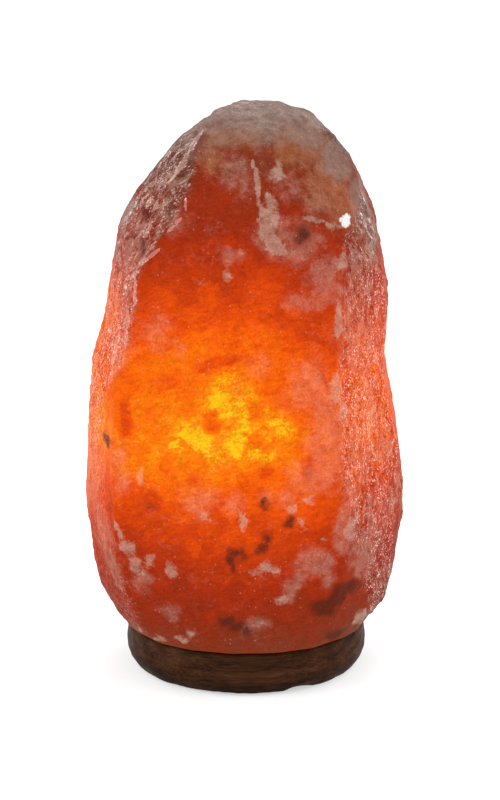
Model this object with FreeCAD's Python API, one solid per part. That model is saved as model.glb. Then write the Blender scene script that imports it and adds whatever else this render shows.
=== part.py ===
"""Salt crystal lamp: a hewn, hollowed salt crystal screwed to a turned wooden base, lit by a
candle bulb in a small screw lampholder that two sprung wings hold in the base's bore.

Millimetres, +Z up, -Y towards the viewer. The origin lies on the table, on the axis of the base.
"""

import FreeCAD
import Part

import math
import os

from FreeCAD import Rotation, Vector

# ---------------------------------------------------------------- driving dimensions
# Wooden base and its rubber feet
FOOT_THICKNESS = 2.0
FOOT_RECESS = 1.2
FOOT_RADIUS = 6.0
FOOT_CIRCLE_RADIUS = 47.0
FOOT_EDGE_CHAMFER = 0.4
FOOT_COUNT = 4
BASE_HEIGHT = 21.2
BASE_RADIUS = 60.3
BASE_UNDERSIDE_RADIUS = 56.2
BASE_TOP_RADIUS = 57.4
BASE_WIDEST_ABOVE_UNDERSIDE = 12.0
BASE_SHOULDER_DROP = 3.6
BASE_SHOULDER_RADIUS = 59.6
BASE_SWELL_OUT = 0.72
BASE_SWELL_UP = 0.38
BASE_RIM_ROUND_OUT = 0.74
BASE_RIM_ROUND_DOWN = 0.30
BASE_ROUND_CUTS = 3
BORE_MOUTH_CHAMFER = 1.2
CORD_GROOVE_WIDTH = 8.0
CORD_GROOVE_HEIGHT = 7.5
CORD_GROOVE_ROUND = 2.7
WANE_WIDTH = 19.0
WANE_HEIGHT = 2.6
WANE_DEPTH = 3.4
WANE_ANGLE = -62.0

# Salt crystal
CAVITY_OVER_BORE = 3.0
CAVITY_HEADROOM = 14.0
CAVITY_END_HEIGHT = 9.0
# The crystal's outline by height above its sawn foot: its reach to the left, right, front and back,
# and how far its ridges stand out from a round section, from 0 to 1.
CRYSTAL_RINGS = [
    (0.0, 58.6, 59.4, 59.2, 57.5, 0.15),
    (4.5, 63.6, 65.0, 62.8, 61.5, 0.3),
    (13.0, 69.4, 70.6, 64.6, 63.8, 0.5),
    (28.0, 75.4, 75.2, 66.0, 65.6, 0.8),
    (48.0, 78.0, 78.0, 67.0, 66.8, 1.0),
    (70.0, 79.4, 79.2, 67.4, 67.4, 1.0),
    (92.0, 79.8, 77.4, 67.4, 67.6, 1.0),
    (114.0, 79.0, 72.0, 66.6, 67.0, 1.0),
    (136.0, 75.2, 69.0, 65.0, 65.6, 1.0),
    (160.0, 69.0, 70.4, 62.0, 62.8, 1.0),
    (184.0, 65.0, 67.6, 57.6, 58.6, 1.0),
    (205.0, 61.2, 62.6, 51.4, 53.0, 0.9),
    (221.0, 53.4, 56.6, 43.6, 46.4, 0.8),
    (234.0, 43.4, 51.6, 35.4, 39.0, 0.7),
    (245.0, 30.8, 42.2, 26.6, 30.4, 0.6),
    (254.0, 16.0, 31.2, 17.2, 20.4, 0.5),
    (259.0, 4.8, 18.0, 8.6, 10.8, 0.5),
]
CRYSTAL_TOP = 260.4
# The ridges that run up the crystal, seen from above, from the left side round the smooth front face to
# the rough sides and back: each one's share of the reach across and of the reach in depth, and how
# uneven it is.
CRYSTAL_RIDGES = [
    (-1.00, 0.04, 1.0),
    (-0.955, -0.42, 1.0),
    (-0.80, -0.86, 0.6),
    (-0.47, -0.965, 0.3),
    (-0.12, -1.00, 0.3),
    (0.25, -0.995, 0.3),
    (0.61, -0.94, 0.4),
    (0.82, -0.60, 1.0),
    (0.965, -0.22, 1.0),
    (1.00, 0.16, 1.0),
    (0.90, 0.56, 1.0),
    (0.63, 0.86, 0.7),
    (0.22, 1.00, 0.9),
    (-0.24, 0.975, 0.9),
    (-0.66, 0.83, 0.7),
    (-0.91, 0.47, 1.0),
]
HEWN_IN_OUT = 0.016
HEWN_UP_DOWN = 0.24
HEWN_TURN = 2.2
HEWN_STEPS = (12.9898, 78.233, 37.719)
HEWN_SCATTER = 43758.5453
# The flat faces where the crystal split: compass angle, upward tilt, and how deep each split went in.
SPLIT_FACES = [
    (214.0, 30.0, 4.6),
    (-44.0, 34.0, 5.4),
    (-160.0, 2.0, 2.6),
    (-22.0, -3.0, 3.4),
    (150.0, -5.0, 5.0),
    (56.0, -8.0, 6.0),
    (108.0, 30.0, 7.0),
    (22.0, 33.0, 4.0),
    (-86.0, 62.0, 2.5),
    (166.0, 37.0, 4.5),
]

# Screws and plugs that hold the crystal on its base
SCREW_COUNT = 3
SCREW_CIRCLE_RADIUS = 39.0
SCREW_RADIUS = 2.0
SCREW_HEAD_RADIUS = 4.0
SCREW_HEAD_HEIGHT = 2.4
SCREW_HEAD_CHAMFER = 0.8
SCREW_SLOT_WIDTH = 1.0
SCREW_SLOT_DEPTH = 1.0
SCREW_IN_CRYSTAL = 25.0
SCREW_HEAD_SINK = 4.0
PLUG_RADIUS = 4.0
PLUG_LENGTH = 28.0
PLUG_CLEARANCE = 0.05
HOLE_CLEARANCE = 0.3

# Bulb: a candle bulb with a small screw cap
BULB_LENGTH = 97.0
BULB_RADIUS = 17.5
BULB_NECK_RADIUS = 7.4
BULB_WIDEST_ABOVE_CONTACT = 50.0
BULB_CAP_LENGTH = 26.0
BULB_CAP_FLARE_FOOT_DROP = 5.0
BULB_CAP_FLARE_TOP_DROP = 2.0
BULB_CAP_RIM_HEIGHT = 1.0
BULB_CAP_LIP = 2.0
BULB_CAP_CHAMFER_IN = 0.6
BULB_CAP_CHAMFER_UP = 1.0
BULB_COLLAR_LENGTH = 2.4
BULB_SWELL_OUT = 0.62
BULB_SWELL_UP = 0.38
BULB_FLANK_OUT = 0.70
BULB_FLANK_UP = 0.56
BULB_NOSE_RADIUS = 3.0
BULB_NOSE_LENGTH = 2.4
GLASS_WALL = 0.8
GLASS_ROUND_CUTS = 4
BULB_THREAD_RADIUS = 6.9
BULB_CAP_WALL = 0.4
BULB_INSULATOR_LENGTH = 4.5
INSULATOR_SPIGOT_LENGTH = 1.0
INSULATOR_SPIGOT_CLEARANCE = 0.2
INSULATOR_SHOULDER = 0.8
INSULATOR_MARGIN = 0.4
TIP_CONTACT_RADIUS = 2.4
TIP_CONTACT_HEIGHT = 1.0
STEM_FLARE_RADIUS = 5.2
STEM_TUBE_RADIUS = 1.9
STEM_LENGTH = 30.0
STEM_TIP_LENGTH = 3.5
STEM_PRESS_WIDTH = 7.0
STEM_PRESS_HEIGHT = 7.0
STEM_PRESS_THICKNESS = 2.7
LEAD_WIRE_RADIUS = 0.4
LEAD_WIRE_ROOT_SPREAD = 2.5
LEAD_WIRE_SPREAD = 9.0
FILAMENT_RADIUS = 0.5
FILAMENT_ABOVE_CONTACT = 62.0
FILAMENT_SAG = 4.0
SUPPORT_WIRE_RADIUS = 0.3

# Lampholder
HOLDER_RADIUS = 14.0
HOLDER_WALL = 1.6
HOLDER_MOUTH_ABOVE_CONTACT = 21.0
HOLDER_SKIRT_LENGTH = 27.0
HOLDER_CAP_LENGTH = 24.0
HOLDER_NECK_RADIUS = 7.0
HOLDER_NECK_LENGTH = 4.0
HOLDER_SHOULDER_ROUND = 5.0
HOLDER_ROUND_CUTS = 3
GLAND_BORE_RADIUS = 3.5
GLAND_THREAD_RADIUS = 5.0
GLAND_LENGTH = 9.0
GLAND_FLANGE_HEIGHT = 2.0
GLAND_FLANGE_RADIUS = 6.6
GLAND_FLANGE_CHAMFER = 0.6
LOCK_SCREW_RADIUS = 1.5
LOCK_SCREW_SLOT_WIDTH = 0.8
LOCK_SCREW_SLOT_DEPTH = 0.6
THREAD_CLEARANCE = 0.2
THREAD_SHELL_WALL = 0.4
THREAD_SHELL_LENGTH = 18.0
THREAD_SHELL_LIP = 1.6
INSERT_THICKNESS = 8.0
INSERT_SLEEVE_WALL = 1.8
SEAT_CLEARANCE = 0.1
CONTACT_LEAF_WIDTH = 4.0
CONTACT_LEAF_THICKNESS = 0.4
CONTACT_LEAF_RISE = 1.6
CONTACT_HEEL_INSET = 2.2
CONTACT_HEEL_LENGTH = 1.6
CONTACT_GAP = 0.05
TERMINAL_SPREAD = 7.6
TERMINAL_WIDTH = 4.0
TERMINAL_DEPTH = 5.0
TERMINAL_HEIGHT = 6.0
TERMINAL_SCREW_RADIUS = 1.4
TERMINAL_SCREW_LENGTH = 4.5
TERMINAL_SLOT_WIDTH = 0.7
TERMINAL_SLOT_DEPTH = 0.7
TERMINAL_WIRE_RADIUS = 1.0

# Spring clip that holds the lampholder in the base's bore
HOLDER_ABOVE_TABLE = 12.0
BULB_PASSAGE = 7.5
CLIP_THICKNESS = 0.8
CLIP_BAND_HEIGHT = 7.0
CLIP_WIDTH = 10.0
WING_ROOT_GAP = 0.2
WING_STANDOFF = 0.25
WING_BORE_GAP = 0.3
WING_ELBOW_ABOVE_UNDERSIDE = 11.0
WING_KNEE_REACH = 1.0
WING_KNEE_DROP = 4.0
WING_TAB_REACH = 5.4
WING_TAB_DROP = 7.5
RIVET_RADIUS = 1.2
RIVET_HEAD_RADIUS = 2.0
RIVET_HEAD_HEIGHT = 0.6

# ---------------------------------------------------------------- heights and radii that follow
BASE_UNDERSIDE = FOOT_THICKNESS - FOOT_RECESS
BASE_TOP = BASE_UNDERSIDE + BASE_HEIGHT
BORE_RADIUS = BULB_RADIUS + BULB_PASSAGE
CAVITY_RADIUS = BORE_RADIUS + CAVITY_OVER_BORE

CAP_FLOOR = HOLDER_ABOVE_TABLE + GLAND_FLANGE_HEIGHT
SKIRT_FOOT = CAP_FLOOR + HOLDER_CAP_LENGTH
HOLDER_MOUTH = SKIRT_FOOT + HOLDER_SKIRT_LENGTH
BULB_CONTACT = HOLDER_MOUTH - HOLDER_MOUTH_ABOVE_CONTACT
BULB_TOP = BULB_CONTACT + BULB_LENGTH
GLASS_FOOT = BULB_CONTACT + BULB_CAP_LENGTH - SEAT_CLEARANCE
CAVITY_TOP = BULB_TOP + CAVITY_HEADROOM
STEM_TOP = GLASS_FOOT + STEM_LENGTH
PRESS_TOP = STEM_TOP - STEM_TIP_LENGTH
FILAMENT_END_Z = BULB_CONTACT + FILAMENT_ABOVE_CONTACT
FILAMENT_MIDDLE_Z = FILAMENT_END_Z - LEAD_WIRE_RADIUS + FILAMENT_SAG

THREAD_SHELL_RADIUS = BULB_THREAD_RADIUS + THREAD_CLEARANCE
THREAD_SHELL_OUTSIDE = THREAD_SHELL_RADIUS + THREAD_SHELL_WALL
INSERT_RADIUS = HOLDER_RADIUS - HOLDER_WALL - SEAT_CLEARANCE
INSERT_TOP = BULB_CONTACT - CONTACT_LEAF_RISE
INSERT_FOOT = INSERT_TOP - INSERT_THICKNESS
SLEEVE_INSIDE = THREAD_SHELL_OUTSIDE + SEAT_CLEARANCE
SLEEVE_OUTSIDE = SLEEVE_INSIDE + INSERT_SLEEVE_WALL
SHELL_FOOT = INSERT_TOP + SEAT_CLEARANCE

BAND_RADIUS = HOLDER_RADIUS + SEAT_CLEARANCE
BAND_OUTSIDE = BAND_RADIUS + CLIP_THICKNESS
BAND_TOP = SKIRT_FOOT - SEAT_CLEARANCE
BAND_FOOT = BAND_TOP - CLIP_BAND_HEIGHT
WING_ROOT_RADIUS = HOLDER_RADIUS + WING_STANDOFF + CLIP_THICKNESS / 2
WING_ROOT_Z = BAND_FOOT - WING_ROOT_GAP - CLIP_THICKNESS / 2

UP = Vector(0, 0, 1)
FULL_TURN = 360.0


# ---------------------------------------------------------------- shape helpers
def polar(radius, degrees, z=0.0):
    """The point at that radius, angle and height."""
    angle = math.radians(degrees)
    return Vector(radius * math.cos(angle), radius * math.sin(angle), z)


def cylinder(radius, foot, top, centre=(0.0, 0.0)):
    """An upright cylinder from height foot to height top."""
    return Part.makeCylinder(radius, top - foot, Vector(centre[0], centre[1], foot), UP)


def tube(outside, inside, foot, top):
    """An upright round tube."""
    return cylinder(outside, foot, top).cut(cylinder(inside, foot, top))


def box_about(centre, size):
    """A box by its centre and its three sizes."""
    corner = centre - Vector(*size) / 2
    return Part.makeBox(size[0], size[1], size[2], corner)


def line(start, end):
    """A straight edge between two (radius, height) points of the XZ plane."""
    return Part.makeLine(Vector(start[0], 0, start[1]), Vector(end[0], 0, end[1]))


def arc(start, through, end):
    """An arc through three (radius, height) points of the XZ plane."""
    points = [Vector(p[0], 0, p[1]) for p in (start, through, end)]
    return Part.Arc(*points).toShape()


def turned(edge, cuts):
    """A round stretch as a lathe tool leaves it: even (radius, height) points, one more than the cuts."""
    return [(point.x, point.z) for point in edge.discretize(cuts + 1)]


def quarter_bend(centre, radius):
    """The lower outer quarter of a circle about a (radius, height) centre."""
    slant = radius / math.sqrt(2)
    return arc(
        (centre[0], centre[1] - radius),
        (centre[0] + slant, centre[1] - slant),
        (centre[0] + radius, centre[1]),
    )


def dome(rim, crown):
    """The arc of a round dome from its rim to its crown on the axis, as (radius, height) points."""
    rise = crown[1] - rim[1]
    size = (rim[0] ** 2 + rise ** 2) / (2 * rise)
    half_way = math.asin(rim[0] / abs(size)) / 2
    through = (abs(size) * math.sin(half_way), crown[1] - size + size * math.cos(half_way))
    return arc(rim, through, crown)


def revolve(edges):
    """The solid made by turning a closed outline of the XZ plane about the Z axis."""
    face = Part.Face(Part.Wire(edges))
    return face.revolve(Vector(0, 0, 0), UP, FULL_TURN)


def revolve_outline(points):
    """The solid made by turning a straight-sided outline, given as (radius, height) points."""
    closed = points + points[:1]
    return revolve([line(a, b) for a, b in zip(closed, closed[1:])])


def wire_rod(points, radius):
    """A round rod along straight runs between points, with a ball at each bend."""
    rod = None
    for start, end in zip(points, points[1:]):
        run = Part.makeCylinder(radius, (end - start).Length, start, end - start)
        rod = run if rod is None else rod.fuse(run)
    for bend in points[1:-1]:
        rod = rod.fuse(Part.makeSphere(radius, bend))
    return rod.removeSplitter()


def hewn(ring, ridge, phase):
    """A steady unevenness from -1 to 1, different at each corner of the crystal."""
    ring_step, ridge_step, phase_step = HEWN_STEPS
    wave = math.sin(ring * ring_step + ridge * ridge_step + phase * phase_step) * HEWN_SCATTER
    return 2.0 * (wave - math.floor(wave)) - 1.0


# ---------------------------------------------------------------- base
def foot_places():
    """The feet's centres, on the diagonals, clear of the cord groove."""
    spacing = FULL_TURN / FOOT_COUNT
    return [polar(FOOT_CIRCLE_RADIUS, spacing / 2 + index * spacing) for index in range(FOOT_COUNT)]


def rubber_foot(place):
    """A rubber disc with a bevelled lower edge, glued into its recess."""
    disc = cylinder(FOOT_RADIUS, 0.0, FOOT_THICKNESS, (place.x, place.y))
    lower = [edge for edge in disc.Edges if edge.BoundBox.ZMax < FOOT_EDGE_CHAMFER]
    return disc.makeChamfer(FOOT_EDGE_CHAMFER, lower)


def wood_base():
    """The turned disc, with its bore, its cord groove, the screw holes and a wane in its lower edge."""
    underside = (BASE_UNDERSIDE_RADIUS, BASE_UNDERSIDE)
    widest = (BASE_RADIUS, BASE_UNDERSIDE + BASE_WIDEST_ABOVE_UNDERSIDE)
    shoulder = (BASE_SHOULDER_RADIUS, BASE_TOP - BASE_SHOULDER_DROP)
    rim = (BASE_TOP_RADIUS, BASE_TOP)
    swell = (
        BASE_UNDERSIDE_RADIUS + BASE_SWELL_OUT * (BASE_RADIUS - BASE_UNDERSIDE_RADIUS),
        BASE_UNDERSIDE + BASE_SWELL_UP * BASE_WIDEST_ABOVE_UNDERSIDE,
    )
    crown = (
        BASE_TOP_RADIUS + BASE_RIM_ROUND_OUT * (BASE_SHOULDER_RADIUS - BASE_TOP_RADIUS),
        BASE_TOP - BASE_RIM_ROUND_DOWN * BASE_SHOULDER_DROP,
    )
    side = turned(arc(underside, swell, widest), BASE_ROUND_CUTS)
    top_edge = turned(arc(shoulder, crown, rim), BASE_ROUND_CUTS)
    disc = revolve_outline([(0, BASE_UNDERSIDE)] + side + top_edge + [(0, BASE_TOP)])
    bore = cylinder(BORE_RADIUS, BASE_UNDERSIDE, BASE_TOP)
    mouth = Part.makeCone(
        BORE_RADIUS + BORE_MOUTH_CHAMFER, BORE_RADIUS, BORE_MOUTH_CHAMFER, Vector(0, 0, BASE_UNDERSIDE), UP
    )
    groove_length = BASE_RADIUS
    groove = box_about(
        Vector(0, groove_length / 2, BASE_UNDERSIDE + CORD_GROOVE_HEIGHT / 2),
        (CORD_GROOVE_WIDTH, groove_length, CORD_GROOVE_HEIGHT),
    )
    roof_edges = [edge for edge in groove.Edges if edge.BoundBox.ZMin > BASE_UNDERSIDE]
    roof_edges = [edge for edge in roof_edges if edge.BoundBox.YLength > CORD_GROOVE_WIDTH]
    groove = groove.makeFillet(CORD_GROOVE_ROUND, roof_edges)
    disc = disc.cut(bore).cut(mouth).cut(groove).cut(wane())
    sunk_top = BASE_UNDERSIDE + SCREW_HEAD_SINK
    for place in screw_places():
        centre = (place.x, place.y)
        disc = disc.cut(cylinder(SCREW_RADIUS + HOLE_CLEARANCE, BASE_UNDERSIDE, BASE_TOP, centre))
        disc = disc.cut(cylinder(SCREW_HEAD_RADIUS + HOLE_CLEARANCE, BASE_UNDERSIDE, sunk_top, centre))
    for place in foot_places():
        disc = disc.cut(cylinder(FOOT_RADIUS, BASE_UNDERSIDE, FOOT_THICKNESS, (place.x, place.y)))
    return disc


def wane():
    """What the natural edge of the plank leaves out of the base's foot edge, as a tilted round cutter."""
    reach = ((WANE_WIDTH / 2) ** 2 + WANE_DEPTH ** 2) / (2 * WANE_DEPTH)
    centre = polar(BASE_UNDERSIDE_RADIUS + reach - WANE_DEPTH, WANE_ANGLE, BASE_UNDERSIDE)
    return Part.makeCone(reach, reach - WANE_DEPTH, WANE_HEIGHT, centre, UP)


def screw_places():
    """The screws' centres, the first one on the right."""
    spacing = FULL_TURN / SCREW_COUNT
    return [polar(SCREW_CIRCLE_RADIUS, index * spacing) for index in range(SCREW_COUNT)]


def base_screws():
    """Slotted pan-head screws, sunk into the base and driven into the crystal's plugs."""
    screws = []
    head_foot = BASE_UNDERSIDE + SCREW_HEAD_SINK - SCREW_HEAD_HEIGHT
    head_top = BASE_UNDERSIDE + SCREW_HEAD_SINK
    for place in screw_places():
        centre = (place.x, place.y)
        head = cylinder(SCREW_HEAD_RADIUS, head_foot, head_top, centre)
        lower = [edge for edge in head.Edges if edge.BoundBox.ZMax < head_foot + SCREW_HEAD_HEIGHT / 2]
        head = head.makeChamfer(SCREW_HEAD_CHAMFER, lower)
        shank = cylinder(SCREW_RADIUS, head_foot, BASE_TOP + SCREW_IN_CRYSTAL, centre)
        slot = box_about(
            Vector(place.x, place.y, head_foot + SCREW_SLOT_DEPTH / 2),
            (2 * (SCREW_HEAD_RADIUS + SCREW_SLOT_WIDTH), SCREW_SLOT_WIDTH, SCREW_SLOT_DEPTH),
        )
        screws.append(head.fuse(shank).cut(slot).removeSplitter())
    return Part.makeCompound(screws)


def wall_plugs():
    """Nylon plugs in the crystal, each closed at its far end."""
    plugs = []
    for place in screw_places():
        centre = (place.x, place.y)
        plug = cylinder(PLUG_RADIUS, BASE_TOP, BASE_TOP + PLUG_LENGTH, centre)
        hole_top = BASE_TOP + SCREW_IN_CRYSTAL + PLUG_CLEARANCE
        plugs.append(plug.cut(cylinder(SCREW_RADIUS + PLUG_CLEARANCE, BASE_TOP, hole_top, centre)))
    return Part.makeCompound(plugs)


# ---------------------------------------------------------------- crystal
def crystal_ring(index):
    """One ring of hewn corners: where each ridge passes, pushed about by the steady unevenness."""
    height, left, right, front, back, ridged = CRYSTAL_RINGS[index]
    room = height - CRYSTAL_RINGS[max(index - 1, 0)][0]
    corners = []
    for number, (across, deep, uneven) in enumerate(CRYSTAL_RIDGES):
        stands_out = math.hypot(across, deep) ** (ridged - 1.0)
        push = stands_out * (1.0 + HEWN_IN_OUT * uneven * hewn(index, number, 1))
        lift = HEWN_UP_DOWN * uneven * room * hewn(index, number, 3)
        corner = Vector(
            across * push * (left if across < 0 else right),
            deep * push * (front if deep < 0 else back),
            BASE_TOP + height + lift,
        )
        turn = HEWN_TURN * uneven * hewn(index, number, 2)
        corners.append(Rotation(UP, turn).multVec(corner))
    return corners


def facet(a, b, c):
    """A flat three-cornered facet."""
    return Part.Face(Part.makePolygon([a, b, c, a]))


def hewn_block():
    """The crystal before it split: a sawn foot, then facets from ring to ring, up to a blunt top."""
    rings = [crystal_ring(index) for index in range(len(CRYSTAL_RINGS))]
    ridge_count = len(CRYSTAL_RIDGES)
    faces = [Part.Face(Part.makePolygon(rings[0] + rings[0][:1]))]
    for level, (lower, upper) in enumerate(zip(rings, rings[1:])):
        for corner in range(ridge_count):
            after = (corner + 1) % ridge_count
            a, b, c, d = lower[corner], lower[after], upper[after], upper[corner]
            if (level + corner) % 2:
                faces += [facet(a, b, c), facet(a, c, d)]
            else:
                faces += [facet(a, b, d), facet(b, c, d)]
    last = rings[-1]
    middle = sum(last, Vector(0, 0, 0)) / ridge_count
    summit = Vector(middle.x, middle.y, BASE_TOP + CRYSTAL_TOP)
    for corner in range(ridge_count):
        faces.append(facet(last[corner], last[(corner + 1) % ridge_count], summit))
    shell = Part.makeShell(faces)
    shell.sewShape()
    block = Part.makeSolid(shell)
    return block if block.Volume > 0 else block.reversed()


def split_away(block):
    """The block after it has split along its flat faces."""
    size = 2 * CRYSTAL_TOP
    for compass, tilt, depth in SPLIT_FACES:
        aim = Rotation(UP, compass).multiply(Rotation(Vector(0, 1, 0), -tilt))
        outward = aim.multVec(Vector(1, 0, 0))
        reach = max(corner.Point.dot(outward) for corner in block.Vertexes)
        waste = Part.makeBox(size, 2 * size, 2 * size, Vector(reach - depth, -size, -size))
        waste.Placement = FreeCAD.Placement(Vector(0, 0, 0), aim)
        block = block.cut(waste)
    return block


def lamp_cavity():
    """The drilled hollow for the bulb: straight sides and a shallow domed end."""
    straight_top = CAVITY_TOP - CAVITY_END_HEIGHT
    return revolve([
        line((0, BASE_TOP), (CAVITY_RADIUS, BASE_TOP)),
        line((CAVITY_RADIUS, BASE_TOP), (CAVITY_RADIUS, straight_top)),
        dome((CAVITY_RADIUS, straight_top), (0, CAVITY_TOP)),
        line((0, CAVITY_TOP), (0, BASE_TOP)),
    ])


def salt_crystal():
    """The crystal with its lamp cavity and the holes for the plugs."""
    block = split_away(hewn_block()).cut(lamp_cavity())
    for place in screw_places():
        hole_radius = PLUG_RADIUS + PLUG_CLEARANCE
        block = block.cut(cylinder(hole_radius, BASE_TOP, BASE_TOP + PLUG_LENGTH, (place.x, place.y)))
    return block


# ---------------------------------------------------------------- bulb
def glass_outline(inset):
    """One face of the candle's glass, as points from its foot to its tip, drawn in by inset."""
    neck = BULB_NECK_RADIUS - inset
    widest = (BULB_RADIUS - inset, BULB_CONTACT + BULB_WIDEST_ABOVE_CONTACT)
    collar = (neck, BULB_CONTACT + BULB_CAP_LENGTH + BULB_COLLAR_LENGTH)
    tip = (0, BULB_TOP - inset)
    shoulder = (BULB_NOSE_RADIUS - inset / 2, tip[1] - BULB_NOSE_LENGTH + inset / 2)
    swell = (
        neck + BULB_SWELL_OUT * (widest[0] - neck),
        collar[1] + BULB_SWELL_UP * (widest[1] - collar[1]),
    )
    flank = (
        BULB_FLANK_OUT * widest[0],
        widest[1] + BULB_FLANK_UP * (tip[1] - widest[1]),
    )
    belly = turned(arc(collar, swell, widest), GLASS_ROUND_CUTS)
    taper = turned(arc(widest, flank, shoulder), GLASS_ROUND_CUTS)
    nose = turned(dome(shoulder, tip), GLASS_ROUND_CUTS // 2)
    return [(neck, GLASS_FOOT)] + belly + taper[1:] + nose[1:]


def bulb_glass():
    """The blown envelope, open only at its neck, where the stem closes it."""
    outside = glass_outline(0.0)
    inside = glass_outline(GLASS_WALL)
    return revolve_outline(outside + inside[::-1])


def bulb_stem():
    """The glass stem: a flare that closes the neck, a tube, and the flat press that holds the wires."""
    flare_radius = BULB_NECK_RADIUS - GLASS_WALL - SEAT_CLEARANCE
    flare = Part.makeCone(
        flare_radius, STEM_TUBE_RADIUS, STEM_FLARE_RADIUS, Vector(0, 0, GLASS_FOOT), UP
    )
    stalk = cylinder(STEM_TUBE_RADIUS, GLASS_FOOT, STEM_TOP)
    press = box_about(
        Vector(0, 0, PRESS_TOP - STEM_PRESS_HEIGHT / 2),
        (STEM_PRESS_WIDTH, STEM_PRESS_THICKNESS, STEM_PRESS_HEIGHT),
    )
    return flare.fuse(stalk).fuse(press).removeSplitter()


def lead_wires():
    """The two wires that rise from the press and spread to the filament's ends."""
    wires = []
    for side in (-1, 1):
        root = Vector(side * LEAD_WIRE_ROOT_SPREAD, 0, PRESS_TOP)
        bend = Vector(side * LEAD_WIRE_ROOT_SPREAD, 0, STEM_TOP)
        end = Vector(side * LEAD_WIRE_SPREAD, 0, FILAMENT_END_Z)
        wires.append(wire_rod([root, bend, end], LEAD_WIRE_RADIUS))
    return Part.makeCompound(wires)


def filament():
    """The coiled tungsten thread, as a slim rod from wire to wire over its support."""
    inner_end = LEAD_WIRE_SPREAD - LEAD_WIRE_RADIUS
    end_z = FILAMENT_END_Z - LEAD_WIRE_RADIUS
    points = [Vector(-inner_end, 0, end_z), Vector(0, 0, FILAMENT_MIDDLE_Z), Vector(inner_end, 0, end_z)]
    rod = wire_rod(points, FILAMENT_RADIUS)
    return rod.cut(lead_wires())


def filament_support():
    """The hooked molybdenum wire that carries the middle of the filament."""
    rod = cylinder(SUPPORT_WIRE_RADIUS, STEM_TOP, FILAMENT_MIDDLE_Z - FILAMENT_RADIUS)
    return rod.cut(filament())


def bulb_cap():
    """The cap's metal shell: a thread-sized sleeve that flares out to the glass, closed in at its foot."""
    wall = BULB_CAP_WALL
    foot = BULB_CONTACT + BULB_INSULATOR_LENGTH
    chamfer_top = foot + BULB_CAP_CHAMFER_UP
    flare_foot = BULB_CONTACT + BULB_CAP_LENGTH - BULB_CAP_FLARE_FOOT_DROP
    flare_top = BULB_CONTACT + BULB_CAP_LENGTH - BULB_CAP_FLARE_TOP_DROP
    rim = BULB_CONTACT + BULB_CAP_LENGTH + BULB_CAP_RIM_HEIGHT
    lip = BULB_THREAD_RADIUS - BULB_CAP_LIP
    flare = BULB_NECK_RADIUS + wall + SEAT_CLEARANCE
    return revolve_outline([
        (lip, foot),
        (BULB_THREAD_RADIUS - BULB_CAP_CHAMFER_IN, foot),
        (BULB_THREAD_RADIUS, chamfer_top),
        (BULB_THREAD_RADIUS, flare_foot),
        (flare, flare_top),
        (flare, rim),
        (flare - wall, rim),
        (flare - wall, flare_top + wall),
        (BULB_THREAD_RADIUS - wall, flare_foot + wall),
        (BULB_THREAD_RADIUS - wall, chamfer_top + wall),
        (lip, chamfer_top + wall),
    ])


def cap_insulator():
    """The black glass button between the cap's shell and its tip contact."""
    foot = BULB_CONTACT + TIP_CONTACT_HEIGHT
    top = BULB_CONTACT + BULB_INSULATOR_LENGTH
    spigot = BULB_THREAD_RADIUS - BULB_CAP_LIP - INSULATOR_SPIGOT_CLEARANCE
    return revolve_outline([
        (0, foot),
        (TIP_CONTACT_RADIUS + INSULATOR_MARGIN, foot),
        (spigot + INSULATOR_SHOULDER, top),
        (spigot, top),
        (spigot, top + INSULATOR_SPIGOT_LENGTH),
        (0, top + INSULATOR_SPIGOT_LENGTH),
    ])


def tip_contact():
    """The soldered contact at the bulb's very foot."""
    foot = BULB_CONTACT
    top = BULB_CONTACT + TIP_CONTACT_HEIGHT
    return revolve([
        dome((TIP_CONTACT_RADIUS, top), (0, foot)),
        line((0, foot), (0, top)),
        line((0, top), (TIP_CONTACT_RADIUS, top)),
    ])


# ---------------------------------------------------------------- lampholder
def holder_skirt():
    """The upper shell of the lampholder, with an inward lip at its mouth."""
    lip = SLEEVE_OUTSIDE + SEAT_CLEARANCE
    lip_thickness = HOLDER_WALL
    mouth_chamfer = HOLDER_WALL / 2
    return revolve_outline([
        (HOLDER_RADIUS - HOLDER_WALL, SKIRT_FOOT),
        (HOLDER_RADIUS, SKIRT_FOOT),
        (HOLDER_RADIUS, HOLDER_MOUTH - mouth_chamfer),
        (HOLDER_RADIUS - mouth_chamfer, HOLDER_MOUTH),
        (lip, HOLDER_MOUTH),
        (lip, HOLDER_MOUTH - lip_thickness),
        (HOLDER_RADIUS - HOLDER_WALL, HOLDER_MOUTH - lip_thickness),
    ])


def holder_cap():
    """The lower shell: a cup that necks down to the threaded seat of the cord gland."""
    inside = HOLDER_RADIUS - HOLDER_WALL
    neck_top = CAP_FLOOR + HOLDER_NECK_LENGTH
    bend_start = neck_top + HOLDER_SHOULDER_ROUND
    centre = (HOLDER_RADIUS - HOLDER_SHOULDER_ROUND, bend_start)
    outer_bend = turned(quarter_bend(centre, HOLDER_SHOULDER_ROUND), HOLDER_ROUND_CUTS)
    inner_bend = turned(quarter_bend(centre, HOLDER_SHOULDER_ROUND - HOLDER_WALL), HOLDER_ROUND_CUTS)
    neck = [
        (GLAND_THREAD_RADIUS, neck_top + HOLDER_WALL),
        (GLAND_THREAD_RADIUS, CAP_FLOOR),
        (HOLDER_NECK_RADIUS, CAP_FLOOR),
        (HOLDER_NECK_RADIUS, neck_top),
    ]
    mouth = [(HOLDER_RADIUS, SKIRT_FOOT), (inside, SKIRT_FOOT)]
    cup = revolve_outline(neck + outer_bend + mouth + inner_bend[::-1])
    cup.rotate(Vector(0, 0, 0), UP, FULL_TURN / 8)  # keeps the face's seam clear of the holes
    return cup.cut(lock_screw_hole()).cut(rivet_pins())


def lock_screw_height():
    """The height of the grub screw that locks the gland, halfway up the neck."""
    return CAP_FLOOR + HOLDER_NECK_LENGTH / 2


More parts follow.
